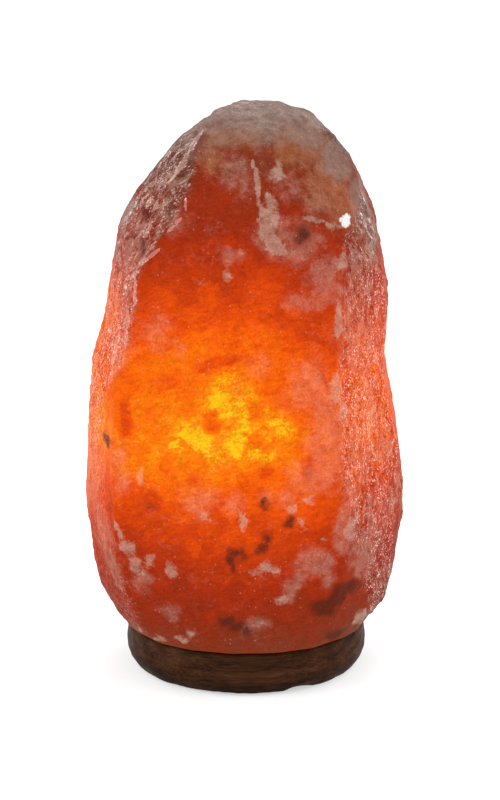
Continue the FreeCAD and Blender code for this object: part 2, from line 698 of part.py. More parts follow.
def lock_screw_hole():
    """The hole through the neck's front for the grub screw."""
    start = Vector(0, -GLAND_BORE_RADIUS, lock_screw_height())
    return Part.makeCylinder(LOCK_SCREW_RADIUS, HOLDER_RADIUS, start, Vector(0, -1, 0))


def gland_lock_screw():
    """The grub screw in the neck, flush with its outside and touching the gland."""
    length = HOLDER_NECK_RADIUS - GLAND_THREAD_RADIUS
    start = Vector(0, -GLAND_THREAD_RADIUS, lock_screw_height())
    screw = Part.makeCylinder(LOCK_SCREW_RADIUS, length, start, Vector(0, -1, 0))
    slot = box_about(
        Vector(0, -HOLDER_NECK_RADIUS, lock_screw_height()),
        (3 * LOCK_SCREW_RADIUS, 2 * LOCK_SCREW_SLOT_DEPTH, LOCK_SCREW_SLOT_WIDTH),
    )
    gland = cylinder(GLAND_THREAD_RADIUS, CAP_FLOOR, CAP_FLOOR + GLAND_LENGTH)
    return screw.cut(slot).cut(gland)


def cord_gland():
    """The bushed inlet for the cord, screwed up into the neck."""
    top = HOLDER_ABOVE_TABLE + GLAND_LENGTH
    return revolve_outline([
        (GLAND_BORE_RADIUS, HOLDER_ABOVE_TABLE),
        (GLAND_FLANGE_RADIUS - GLAND_FLANGE_CHAMFER, HOLDER_ABOVE_TABLE),
        (GLAND_FLANGE_RADIUS, HOLDER_ABOVE_TABLE + GLAND_FLANGE_CHAMFER),
        (GLAND_FLANGE_RADIUS, CAP_FLOOR),
        (GLAND_THREAD_RADIUS, CAP_FLOOR),
        (GLAND_THREAD_RADIUS, top),
        (GLAND_BORE_RADIUS, top),
    ])


def terminal_places():
    """The two terminals' centres, one each side of the axis."""
    z = INSERT_FOOT + TERMINAL_HEIGHT / 2
    return [Vector(side * TERMINAL_SPREAD, 0, z) for side in (-1, 1)]


def holder_insert():
    """The moulded core: a disc with a pocket for each terminal, and a sleeve round the thread shell."""
    disc = cylinder(INSERT_RADIUS, INSERT_FOOT, INSERT_TOP)
    sleeve_top = HOLDER_MOUTH - SEAT_CLEARANCE
    sleeve = tube(SLEEVE_OUTSIDE, SLEEVE_INSIDE, INSERT_TOP, sleeve_top)
    core = disc.fuse(sleeve).removeSplitter()
    for place in terminal_places():
        pocket = (
            TERMINAL_WIDTH + 2 * SEAT_CLEARANCE,
            TERMINAL_DEPTH + 2 * SEAT_CLEARANCE,
            TERMINAL_HEIGHT,
        )
        core = core.cut(box_about(place, pocket))
    return core


def terminal_blocks():
    """The brass blocks that clamp the cord's two conductors, each with a wire hole and a screw hole."""
    blocks = []
    for place in terminal_places():
        block = box_about(place, (TERMINAL_WIDTH, TERMINAL_DEPTH, TERMINAL_HEIGHT))
        wire_hole = Part.makeCylinder(
            TERMINAL_WIRE_RADIUS, 2 * TERMINAL_DEPTH, place - Vector(0, TERMINAL_DEPTH, 0), Vector(0, 1, 0)
        )
        screw_top = INSERT_FOOT + TERMINAL_SCREW_LENGTH / 2
        screw_hole = cylinder(TERMINAL_SCREW_RADIUS, INSERT_FOOT, screw_top, (place.x, place.y))
        blocks.append(block.cut(wire_hole).cut(screw_hole))
    return Part.makeCompound(blocks)


def terminal_screws():
    """The slotted screws of the two terminals, reached from inside the cap."""
    screws = []
    for place in terminal_places():
        screw_top = INSERT_FOOT + TERMINAL_SCREW_LENGTH / 2
        screw_foot = screw_top - TERMINAL_SCREW_LENGTH
        screw = cylinder(TERMINAL_SCREW_RADIUS - PLUG_CLEARANCE, screw_foot, screw_top, (place.x, place.y))
        slot = box_about(
            Vector(place.x, place.y, screw_foot),
            (3 * TERMINAL_SCREW_RADIUS, TERMINAL_SLOT_WIDTH, 2 * TERMINAL_SLOT_DEPTH),
        )
        screws.append(screw.cut(slot))
    return Part.makeCompound(screws)


def thread_shell():
    """The brass screw shell that takes the bulb's cap, with a turned-in foot on the core."""
    foot = SHELL_FOOT
    top = foot + THREAD_SHELL_LENGTH
    lip = THREAD_SHELL_RADIUS - THREAD_SHELL_LIP
    return revolve_outline([
        (lip, foot),
        (THREAD_SHELL_OUTSIDE, foot),
        (THREAD_SHELL_OUTSIDE, top),
        (THREAD_SHELL_RADIUS, top),
        (THREAD_SHELL_RADIUS, foot + THREAD_SHELL_WALL),
        (lip, foot + THREAD_SHELL_WALL),
    ])


def centre_contact():
    """The sprung leaf under the bulb's tip: a flat heel on the core, a slope, and a flat top."""
    top = BULB_CONTACT - CONTACT_GAP
    foot = INSERT_TOP
    thickness = CONTACT_LEAF_THICKNESS
    heel = -THREAD_SHELL_RADIUS + CONTACT_HEEL_INSET
    end = TIP_CONTACT_RADIUS
    outline = [
        (heel, foot),
        (heel + CONTACT_HEEL_LENGTH, foot),
        (0, top - thickness),
        (end, top - thickness),
        (end, top),
        (-thickness, top),
        (heel + CONTACT_HEEL_LENGTH - thickness, foot + thickness),
        (heel, foot + thickness),
    ]
    points = [Vector(x, -CONTACT_LEAF_WIDTH / 2, z) for x, z in outline]
    face = Part.Face(Part.makePolygon(points + points[:1]))
    return face.extrude(Vector(0, CONTACT_LEAF_WIDTH, 0))


# ---------------------------------------------------------------- spring clip
def clip_band():
    """The steel band round the holder's cap, with a flat pad over each wing."""
    band = tube(BAND_OUTSIDE, BAND_RADIUS, BAND_FOOT, BAND_TOP)
    return band.cut(rivet_pins())


def rivet_pins():
    """The plain pins of the two rivets, through band and cap."""
    height = (BAND_FOOT + BAND_TOP) / 2
    pins = []
    for side in (-1, 1):
        start = Vector(side * (HOLDER_RADIUS - HOLDER_WALL), 0, height)
        length = HOLDER_WALL + SEAT_CLEARANCE + CLIP_THICKNESS
        pins.append(Part.makeCylinder(RIVET_RADIUS, length, start, Vector(side, 0, 0)))
    return pins[0].fuse(pins[1])


def clip_rivets():
    """The two rivets that fix the band to the cap, with low round heads."""
    height = (BAND_FOOT + BAND_TOP) / 2
    rivets = []
    for side in (-1, 1):
        pin_start = Vector(side * (HOLDER_RADIUS - HOLDER_WALL), 0, height)
        pin_length = BAND_OUTSIDE - (HOLDER_RADIUS - HOLDER_WALL)
        pin = Part.makeCylinder(RIVET_RADIUS, pin_length, pin_start, Vector(side, 0, 0))
        head_start = Vector(side * BAND_OUTSIDE, 0, height)
        head = Part.makeCone(
            RIVET_HEAD_RADIUS, RIVET_RADIUS, RIVET_HEAD_HEIGHT, head_start, Vector(side, 0, 0)
        )
        rivets.append(pin.fuse(head).removeSplitter())
    return Part.makeCompound(rivets)


def clip_wing(side):
    """A sprung wing: down and out to an elbow that bears on the bore, then in to a finger tab."""
    root = (WING_ROOT_RADIUS, WING_ROOT_Z)
    half = CLIP_THICKNESS / 2
    bearing = BORE_RADIUS - WING_BORE_GAP
    elbow_reach = math.sqrt(bearing ** 2 - (CLIP_WIDTH / 2) ** 2) - half
    elbow_z = BASE_UNDERSIDE + WING_ELBOW_ABOVE_UNDERSIDE
    knee = (root[0] + WING_KNEE_REACH, root[1] - WING_KNEE_DROP)
    elbow = (elbow_reach, elbow_z)
    tab = (elbow_reach - WING_TAB_REACH, elbow_z - WING_TAB_DROP)
    spine = [root, knee, elbow, tab]
    points = [Vector(x, 0, z) for x, z in spine]
    wing = None
    for start, end in zip(points, points[1:]):
        run = end - start
        plate = Part.makeBox(run.Length, CLIP_WIDTH, CLIP_THICKNESS)
        plate.translate(Vector(0, -CLIP_WIDTH / 2, -half))
        plate.rotate(Vector(0, 0, 0), Vector(0, 1, 0), -math.degrees(math.atan2(run.z, run.x)))
        plate.translate(start)
        wing = plate if wing is None else wing.fuse(plate)
    for bend in points:
        bead = Part.makeCylinder(half, CLIP_WIDTH, bend - Vector(0, CLIP_WIDTH / 2, 0), Vector(0, 1, 0))
        wing = wing.fuse(bead)
    wing = wing.removeSplitter()
    if side < 0:
        wing.rotate(Vector(0, 0, 0), UP, FULL_TURN / 2)
    return wing


# ---------------------------------------------------------------- the whole lamp
def lamp_pieces():
    """Every piece by its node's name."""
    pieces = {
        "salt_crystal": salt_crystal(),
        "wood_base": wood_base(),
        "base_screws": base_screws(),
        "wall_plugs": wall_plugs(),
        "holder_skirt": holder_skirt(),
        "holder_cap": holder_cap(),
        "holder_insert": holder_insert(),
        "cord_gland": cord_gland(),
        "gland_lock_screw": gland_lock_screw(),
        "terminal_blocks": terminal_blocks(),
        "terminal_screws": terminal_screws(),
        "thread_shell": thread_shell(),
        "centre_contact": centre_contact(),
        "clip_band": clip_band(),
        "clip_rivets": clip_rivets(),
        "clip_wing_left": clip_wing(-1),
        "clip_wing_right": clip_wing(1),
        "bulb_glass": bulb_glass(),
        "bulb_stem": bulb_stem(),
        "lead_wires": lead_wires(),
        "filament": filament(),
        "filament_support": filament_support(),
        "bulb_cap": bulb_cap(),
        "cap_insulator": cap_insulator(),
        "tip_contact": tip_contact(),
    }
    for number, place in enumerate(foot_places(), start=1):
        pieces[f"rubber_foot_{number}"] = rubber_foot(place)
    return pieces


def main():
    """Writes each piece to its own STEP file, after a check that it is sound."""
    os.makedirs("parts", exist_ok=True)
    for name, shape in lamp_pieces().items():
        if not shape.isValid() or shape.Volume <= 0:
            raise ValueError(f"{name} is not a sound solid")
        shape.exportStep(f"parts/{name}.step")
        print(f"{name}: {len(shape.Solids)} solid(s), {shape.Volume / 1000:.2f} cm3")


main()
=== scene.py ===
"""Salt crystal lamp: the hewn skin of its crystal, its turned base, its fittings and all their finishes.

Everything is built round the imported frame, in its own place: metres, +Z up, -Y towards the viewer.
"""

import logging
import math
from collections.abc import Mapping, Sequence
from dataclasses import dataclass, field
from enum import Enum

import bpy
import numpy as np
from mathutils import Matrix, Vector, noise

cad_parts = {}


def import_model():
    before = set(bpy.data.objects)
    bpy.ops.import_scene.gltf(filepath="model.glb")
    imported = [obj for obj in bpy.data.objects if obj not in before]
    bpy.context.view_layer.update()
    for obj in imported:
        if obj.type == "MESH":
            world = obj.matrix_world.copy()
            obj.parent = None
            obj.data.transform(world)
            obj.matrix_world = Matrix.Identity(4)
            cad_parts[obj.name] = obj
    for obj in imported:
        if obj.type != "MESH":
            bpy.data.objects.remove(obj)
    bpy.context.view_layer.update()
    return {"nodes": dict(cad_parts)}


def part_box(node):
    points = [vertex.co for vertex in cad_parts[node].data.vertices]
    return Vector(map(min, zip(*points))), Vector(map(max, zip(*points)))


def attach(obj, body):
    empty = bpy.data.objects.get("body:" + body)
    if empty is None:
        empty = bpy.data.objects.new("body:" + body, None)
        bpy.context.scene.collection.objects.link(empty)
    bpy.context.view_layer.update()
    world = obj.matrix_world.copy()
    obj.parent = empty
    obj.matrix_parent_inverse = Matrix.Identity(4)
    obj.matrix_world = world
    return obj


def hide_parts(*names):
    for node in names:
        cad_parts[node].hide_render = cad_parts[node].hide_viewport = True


LOG = logging.getLogger("salt_lamp")
MM = 0.001
WELD = 0.002 * MM
NOISE_SEED = 4

Colour = tuple[float, float, float]
Point = tuple[float, float, float]


# ---------------------------------------------------------------- shader bench
class Signal:
    """A number that varies over a surface. Arithmetic on it adds Math nodes to its material."""

    def __init__(self, bench: "Bench", socket: bpy.types.NodeSocket) -> None:
        """Wraps an output socket of a node on that bench."""
        self.bench = bench
        self.socket = socket

    def apply(self, operation: str, *terms: "Signal | float") -> "Signal":
        """Adds one Math node.

        Args:
            operation: the Math node's operation.
            terms: its inputs in order, as signals or numbers.

        Returns:
            The node's result.
        """
        node = self.bench.node("ShaderNodeMath", {"operation": operation}, dict(enumerate(terms)))
        return Signal(self.bench, node.outputs[0])

    def __add__(self, other: "Signal | float") -> "Signal":
        """self + other."""
        return self.apply("ADD", self, other)

    __radd__ = __add__

    def __sub__(self, other: "Signal | float") -> "Signal":
        """self - other."""
        return self.apply("SUBTRACT", self, other)

    def __rsub__(self, other: float) -> "Signal":
        """other - self."""
        return self.apply("SUBTRACT", other, self)

    def __mul__(self, other: "Signal | float") -> "Signal":
        """self * other."""
        return self.apply("MULTIPLY", self, other)

    __rmul__ = __mul__

    def __truediv__(self, other: float) -> "Signal":
        """self / other."""
        return self.apply("DIVIDE", self, other)

    def highest(self, other: "Signal | float") -> "Signal":
        """The higher of the two."""
        return self.apply("MAXIMUM", self, other)

    def size(self) -> "Signal":
        """How far it is from nought."""
        return self.apply("ABSOLUTE", self)

    def step(self, low: float, high: float, bottom: float = 0.0, top: float = 1.0) -> "Signal":
        """A smooth step between two levels.

        Args:
            low: the level at which the step starts.
            high: the level at which it ends; below low, the step falls.
            bottom: the result before the step.
            top: the result after it.

        Returns:
            The stepped signal.
        """
        limits = {"Value": self, "From Min": low, "From Max": high, "To Min": bottom, "To Max": top}
        node = self.bench.node("ShaderNodeMapRange", {"interpolation_type": "SMOOTHSTEP"}, limits)
        return Signal(self.bench, node.outputs["Result"])


Value = Signal | bpy.types.NodeSocket | float | Sequence[float]


class Bench:
    """The node tree of one material or sky, with the few kinds of node that the finishes are made of."""

    def __init__(
        self,
        owner: bpy.types.Material | bpy.types.World,
        shader: str = "Principled BSDF",
        place: str = "Object",
    ) -> None:
        """Takes up the owner's nodes.

        Args:
            owner: the material or sky.
            shader: the name of its shader's node.
            place: the kind of coordinates that its patterns are laid by.
        """
        owner.use_nodes = True
        self.owner = owner
        self.tree = owner.node_tree
        self.shader = self.tree.nodes[shader]
        self.place = self.node("ShaderNodeTexCoord").outputs[place]

    @classmethod
    def new(cls, name: str) -> "Bench":
        """The bench of a new material of that name."""
        return cls(bpy.data.materials.new(name))

    def node(
        self,
        kind: str,
        settings: Mapping[str, object] | None = None,
        sockets: Mapping[str | int, Value] | None = None,
    ) -> bpy.types.Node:
        """Adds a node.

        Args:
            kind: the node's type.
            settings: what is set on the node before its sockets; "stops" are a ramp's stops.
            sockets: a value or a link for each named or numbered input.

        Returns:
            The new node.
        """
        made = self.tree.nodes.new(kind)
        for name, value in (settings or {}).items():
            if name == "stops":
                self._set_stops(made.color_ramp, value)
            else:
                setattr(made, name, value)
        for name, value in (sockets or {}).items():
            self.feed(made.inputs[name], value)
        return made

    @staticmethod
    def _set_stops(ramp: bpy.types.ColorRamp, stops: Sequence[tuple[float, Colour]]) -> None:
        """Sets a ramp's stops, each a position and a colour.

        Args:
            ramp: the ramp.
            stops: positions from 0 to 1 and colours, in order.
        """
        while len(ramp.elements) < len(stops):
            ramp.elements.new(1.0)
        for element, (position, colour) in zip(ramp.elements, stops):
            element.position = position
            element.color = (*colour, 1.0)

    def feed(self, socket: bpy.types.NodeSocket, value: Value) -> None:
        """Links a signal or socket to an input, or sets the input's own value.

        Args:
            socket: the input.
            value: the signal, the socket, or the number or numbers it is set to.
        """
        if isinstance(value, Signal):
            self.tree.links.new(value.socket, socket)
        elif isinstance(value, bpy.types.NodeSocket):
            self.tree.links.new(value, socket)
        elif socket.type == "RGBA" and len(value) == 3:
            socket.default_value = (*value, 1.0)
        else:
            socket.default_value = value

    def finish(self, **sockets: Value) -> bpy.types.Material | bpy.types.World:
        """Feeds the shader's inputs.

        Args:
            sockets: values by the input's name, in lower case with underscores.

        Returns:
            The finished material or sky.
        """
        names = {name.lower().replace(" ", "_"): name for name in self.shader.inputs.keys()}
        for name, value in sockets.items():
            self.feed(self.shader.inputs[names[name]], value)
        return self.owner

    def attribute(self, stored: Enum) -> Signal:
        """What the mesh itself stores under that option's name."""
        node = self.node("ShaderNodeAttribute", {"attribute_name": stored.value})
        return Signal(self, node.outputs["Fac"])

    def vector(self, operation: str, *terms: Value) -> bpy.types.NodeSocket:
        """The result of a Vector Math node on those inputs, in order."""
        node = self.node("ShaderNodeVectorMath", {"operation": operation}, dict(enumerate(terms)))
        return node.outputs["Vector"]

    def measure(self, operation: str, *terms: Value) -> Signal:
        """The number that a Vector Math node makes of those inputs, such as a length."""
        node = self.node("ShaderNodeVectorMath", {"operation": operation}, dict(enumerate(terms)))
        return Signal(self, node.outputs["Value"])

    def scaled(self, vector: Value, factor: float) -> bpy.types.NodeSocket:
        """A vector times a number."""
        sockets = {0: vector, "Scale": factor}
        return self.node("ShaderNodeVectorMath", {"operation": "SCALE"}, sockets).outputs["Vector"]

    def stretched(self, stretch: Point, turn: Point = (0.0, 0.0, 0.0)) -> bpy.types.NodeSocket:
        """The piece's coordinates, turned by degrees and then multiplied along each axis.

        Args:
            stretch: what each axis is multiplied by.
            turn: degrees about each axis, before that.

        Returns:
            The changed coordinates.
        """
        angles = tuple(math.radians(degrees) for degrees in turn)
        turned = self.node("ShaderNodeMapping", None, {"Vector": self.place, "Rotation": angles})
        return self.vector("MULTIPLY", turned.outputs["Vector"], stretch)

    def noise_node(self, grain: float, detail: float, rough: float, place: Value | None) -> bpy.types.Node:
        """A Noise Texture whose lumps are about that many millimetres wide.

        Args:
            grain: the width of its lumps in millimetres.
            detail: how many finer layers it has.
            rough: how strong the finer layers are.
            place: the coordinates it is read at, or None for the piece's own.

        Returns:
            The node.
        """
        sockets = {
            "Vector": self.place if place is None else place,
            "Scale": 1.0 / (grain * MM),
            "Detail": detail,
            "Roughness": rough,
        }
        return self.node("ShaderNodeTexNoise", None, sockets)

    def cloud(
        self, grain: float, detail: float = 3.0, rough: float = 0.5, place: Value | None = None
    ) -> Signal:
        """Cloudy noise about nought, from about -0.5 to 0.5.

        Args:
            grain: the width of its lumps in millimetres.
            detail: how many finer layers it has.
            rough: how strong the finer layers are.
            place: the coordinates it is read at, or None for the piece's own.

        Returns:
            The noise.
        """
        return Signal(self, self.noise_node(grain, detail, rough, place).outputs["Fac"]) - 0.5

    def drift(self, grain: float, reach: float, place: Value | None = None) -> bpy.types.NodeSocket:
        """Coordinates pushed about by noise.

        Args:
            grain: the width of the noise's lumps in millimetres.
            reach: about how far it pushes, in millimetres.
            place: the coordinates that are pushed, or None for the piece's own.

        Returns:
            The pushed coordinates.
        """
        start = self.place if place is None else place
        colour = self.noise_node(grain, 2.0, 0.5, start).outputs["Color"]
        push = self.scaled(self.vector("SUBTRACT", colour, (0.5, 0.5, 0.5)), 2.0 * reach * MM)
        return self.vector("ADD", start, push)

    def cells(self, grain: float, place: Value) -> tuple[Signal, Signal]:
        """Divides a surface into irregular cells.

        Args:
            grain: about how many millimetres wide a cell is.
            place: the coordinates that are divided.

        Returns:
            How far from its cell's middle a point is, in cells, and a number of each cell's own from 0 to 1.
        """
        sockets = {"Vector": place, "Scale": 1.0 / (grain * MM)}
        spots = self.node("ShaderNodeTexVoronoi", None, sockets).outputs
        own = self.node("ShaderNodeSeparateColor", None, {0: spots["Color"]}).outputs[0]
        return Signal(self, spots["Distance"]), Signal(self, own)

    def thread(self, grain: float, width: float, place: Value | None = None) -> Signal:
        """Thin lines, 1 at their middle, where a noise of that grain crosses nought."""
        return self.cloud(grain, 3.0, 0.55, place).size().step(width, width * 0.15)

    def part(self, vector: Value, axis: str) -> Signal:
        """One of a vector's X, Y and Z."""
        return Signal(self, self.node("ShaderNodeSeparateXYZ", None, {0: vector}).outputs[axis])

    def mix(self, share: Signal | float, first: Value, second: Value) -> bpy.types.NodeSocket:
        """Mixes two colours.

        Args:
            share: how much of the second colour shows, from 0 to 1.
            first: the colour at 0.
            second: the colour at 1.

        Returns:
            The mixed colour.
        """
        sockets = {0: share, 6: first, 7: second}
        return self.node("ShaderNodeMix", {"data_type": "RGBA"}, sockets).outputs[2]

    def ramp(self, level: Signal, stops: Sequence[tuple[float, Colour]]) -> bpy.types.NodeSocket:
        """The colour at that level on a ramp of stops."""
        return self.node("ShaderNodeValToRGB", {"stops": stops}, {"Fac": level}).outputs["Color"]

    def bump(self, height: Signal, depth: float, strength: float = 1.0) -> bpy.types.NodeSocket:
        """The normal of a surface whose height of 0 to 1 stands for that depth in millimetres."""
        sockets = {"Height": height, "Distance": depth * MM, "Strength": strength}
        return self.node("ShaderNodeBump", None, sockets).outputs["Normal"]


# ---------------------------------------------------------------- finishes
class Stain(Enum):
    """What a mark in the salt is made of, or the painted light it carries, by the name under which the mesh
    stores it.
    """

    VEIN = "vein"
    MILK = "milk"
    HAZE = "haze"
    CLAY = "clay"
    AMBER = "amber"
    FLARE = "flare"
    EMBER = "ember"
    SMOKE = "smoke"
    # painted highlight: where a cleavage face mirrors the lamps, painted white
    GLINT = "painted_glint"
    # pale crushed salt on the hewn crests, painted bright as highlights
    CREST = "crest"
    # painted rim light: a pale grey rim along the top outline
    RIME = "painted_rim"


class Lie(Enum):
    """What else the mesh stores about how the salt was hewn."""

    ROUGH = "rough"
    BESIDE = "beside"


@dataclass(frozen=True)
class SaltFinish:
    """Rock salt with a lamp inside it: the lamp's light through the salt is painted into its emission colour
    by how far it has come, and milk and clay veil it.

    The lamp's place, which is the middle of the painted glow, and the nearest and farthest reach of its
    light are millimetres. The colours that start with lit are painted light that shines through the salt;
    the glint's colours are a painted highlight, the frost colour is partly painted sparkle, and the others
    are the salt's own.
    """

    lamp: Point = (-8.0, -4.0, 137.0)
    squash: Point = (0.9, 1.0, 1.0)
    near: float = 50.0
    far: float = 141.0
    # painted light: the colours of the glow painted into the salt's emission, from near the lamp to far
    glow: tuple[tuple[float, Colour], ...] = (
        (0.00, (0.95, 0.52, 0.006)),
        (0.06, (0.96, 0.28, 0.003)),
        (0.12, (0.96, 0.185, 0.001)),
        (0.20, (0.93, 0.125, 0.001)),
        (0.29, (0.80, 0.075, 0.001)),
        (0.41, (0.56, 0.043, 0.002)),
        (0.56, (0.37, 0.025, 0.003)),
        (0.72, (0.265, 0.024, 0.005)),
        (0.86, (0.20, 0.036, 0.014)),
        (1.00, (0.13, 0.050, 0.030)),
    )
    clear: Colour = (0.016, 0.003, 0.002)
    milk: Colour = (0.19, 0.160, 0.130)
    # pale crushed salt, and painted sparkle on the rough bands
    frost_and_sparkle: Colour = (0.50, 0.38, 0.34)
    tan: Colour = (0.16, 0.066, 0.032)
    crown: Colour = (0.135, 0.108, 0.094)
    clay: Colour = (0.024, 0.010, 0.006)
    # painted highlight: the glint's white
    painted_glint_colour: Colour = (0.52, 0.51, 0.51)
    lit_milk: Colour = (0.17, 0.055, 0.030)
    lit_milk_by_lamp: Colour = (0.46, 0.21, 0.06)
    lit_smoke: Colour = (0.13, 0.034, 0.010)
    lit_crown: Colour = (0.085, 0.034, 0.022)
    lit_clay: Colour = (0.055, 0.006, 0.002)
    # painted shade: the dim glow in the grooves between hewn streaks
    groove_shade_glow: Colour = (0.05, 0.008, 0.004)
    lit_tick: Colour = (0.27, 0.018, 0.008)
    # the frost's light, partly painted sparkle
    lit_frost_and_sparkle: Colour = (0.64, 0.33, 0.24)
    # painted highlight: the glint's glow
    painted_glint_light: Colour = (0.22, 0.19, 0.18)
    bloom: Colour = (1.0, 0.84, 0.78)

    def material(self) -> bpy.types.Material:
        """The salt's material.

        Returns:
            The material, whose light and colours come from the same patterns.
        """
        bench = Bench.new("hewn_salt")
        salt = SaltPattern(bench)
        rough, streak, crumb, sand = salt.rough, salt.streak, salt.crumb, salt.sand
        reach = self._reach(bench)
        core = reach.step(0.5, 0.05)

        veil, frost_and_sparkle = salt.veil(core), salt.frost_and_sparkle()
        smoke = salt.stained(Stain.SMOKE, salt.fray * 1.3, -4.0, 5.0) * (0.8 + crumb * 1.2)
        # painted rim light: a pale grey rim along the top outline, greyed into the crown
        painted_rim = salt.stained(Stain.RIME, salt.flow * 6.0 + crumb * 6.0, -3.0, 3.0)
        crown = (salt.height + salt.flow * 22.0 + crumb * 15.0).step(260.0, 279.0).highest(painted_rim * 0.7)
        clay = salt.stained(Stain.CLAY, salt.fray * 0.8, -2.0, 1.8) * (0.88 + sand * 1.4)
        # painted highlight: the glint marks, white in colour and in glow
        painted_glint = salt.stained(Stain.GLINT, crumb * 4.0 + sand * 2.5, -0.4, 0.9)
        # painted shade: the grooves between the hewn streaks on the rough bands are darkened, more so higher
        # up
        groove_shade = (streak + crumb * 0.5).step(-0.04, -0.2) * rough * salt.height.step(170.0, 225.0, 0.35, 1.0)
        tick = (sand + streak * 0.3).step(-0.02, -0.17) * rough

        # painted light: the lamp's glow through the salt, painted into the emission colour
        light = bench.ramp(salt.glow(reach, core), self.glow)
        light = bench.mix(veil * 0.56, light, bench.mix(core, self.lit_milk, self.lit_milk_by_lamp))
        light = bench.mix(smoke * 0.7, light, self.lit_smoke)
        light = bench.mix(crown * 0.85, light, self.lit_crown)
        light = bench.mix(clay * 0.9, light, self.lit_clay)
        light = bench.mix(groove_shade * 0.5, light, self.groove_shade_glow)
        light = bench.mix(tick * 0.6, light, self.lit_tick)
        # pale crushed salt and painted sparkle: crests, hewn lines and flecks shine bright
        light = bench.mix(frost_and_sparkle * 0.55, light, self.lit_frost_and_sparkle)
        # painted light and shade: the glow brightens and dims with the noises that also shape the bump's
        # relief, and with fine scratches
        relief_shading = 1.0 + crumb * 0.45 + salt.scratch * 0.7 + sand * (0.8 + rough * 1.2)
        # painted highlight: the glint's light laid over the glow
        light = bench.mix(painted_glint, bench.vector("MULTIPLY", light, relief_shading), self.painted_glint_light)

        body = bench.mix(veil, self.clear, self.milk)
        body = bench.mix(smoke * 0.85, body, self.tan)
        body = bench.mix(crown * 0.9, body, self.crown)
        body = bench.mix(clay, body, self.clay)
        body = bench.mix(groove_shade * 0.6, body, self.clear)
        body = bench.vector("MULTIPLY", body, 1.0 + crumb * 0.6 + sand * 0.9)
        # painted highlights in the colour: the frost's sparkle and the glint's white, over pale crushed salt
        body = bench.mix(painted_glint, bench.mix(frost_and_sparkle, body, self.frost_and_sparkle), self.painted_glint_colour)

        relief = crumb * 0.5 + sand * (0.3 + rough * 0.5) + streak * rough * 1.1
        return bench.finish(
            base_color=body,
            emission_color=light,
            emission_strength=1.0,
            roughness=(0.5 + crumb * 0.5 + sand * 0.5 - rough * 0.1).step(0.2, 0.8, 0.22, 0.7),
            normal=bench.bump(relief, 1.3, 0.9),
            specular_ior_level=0.01,
            coat_weight=(rough * 0.4 + crown * 0.35 + crumb * 0.6 + sand * 0.5).step(0.2, 0.9) * 0.4,
            coat_roughness=0.18,
            sheen_weight=0.01,
            sheen_roughness=0.3,
            sheen_tint=self.bloom,
        )

    def _reach(self, bench: Bench) -> Signal:
        """How far the painted light has come through the salt, from 0 at its nearest to 1 where it is spent.

        Args:
            bench: the material's bench.

        Returns:
            The share of the reach that is used up.
        """
        lamp = tuple(value * MM for value in self.lamp)
        way = bench.vector("MULTIPLY", bench.vector("SUBTRACT", bench.drift(34.0, 8.0), lamp), self.squash)
        return (bench.measure("LENGTH", way) / MM - self.near) / (self.far - self.near)


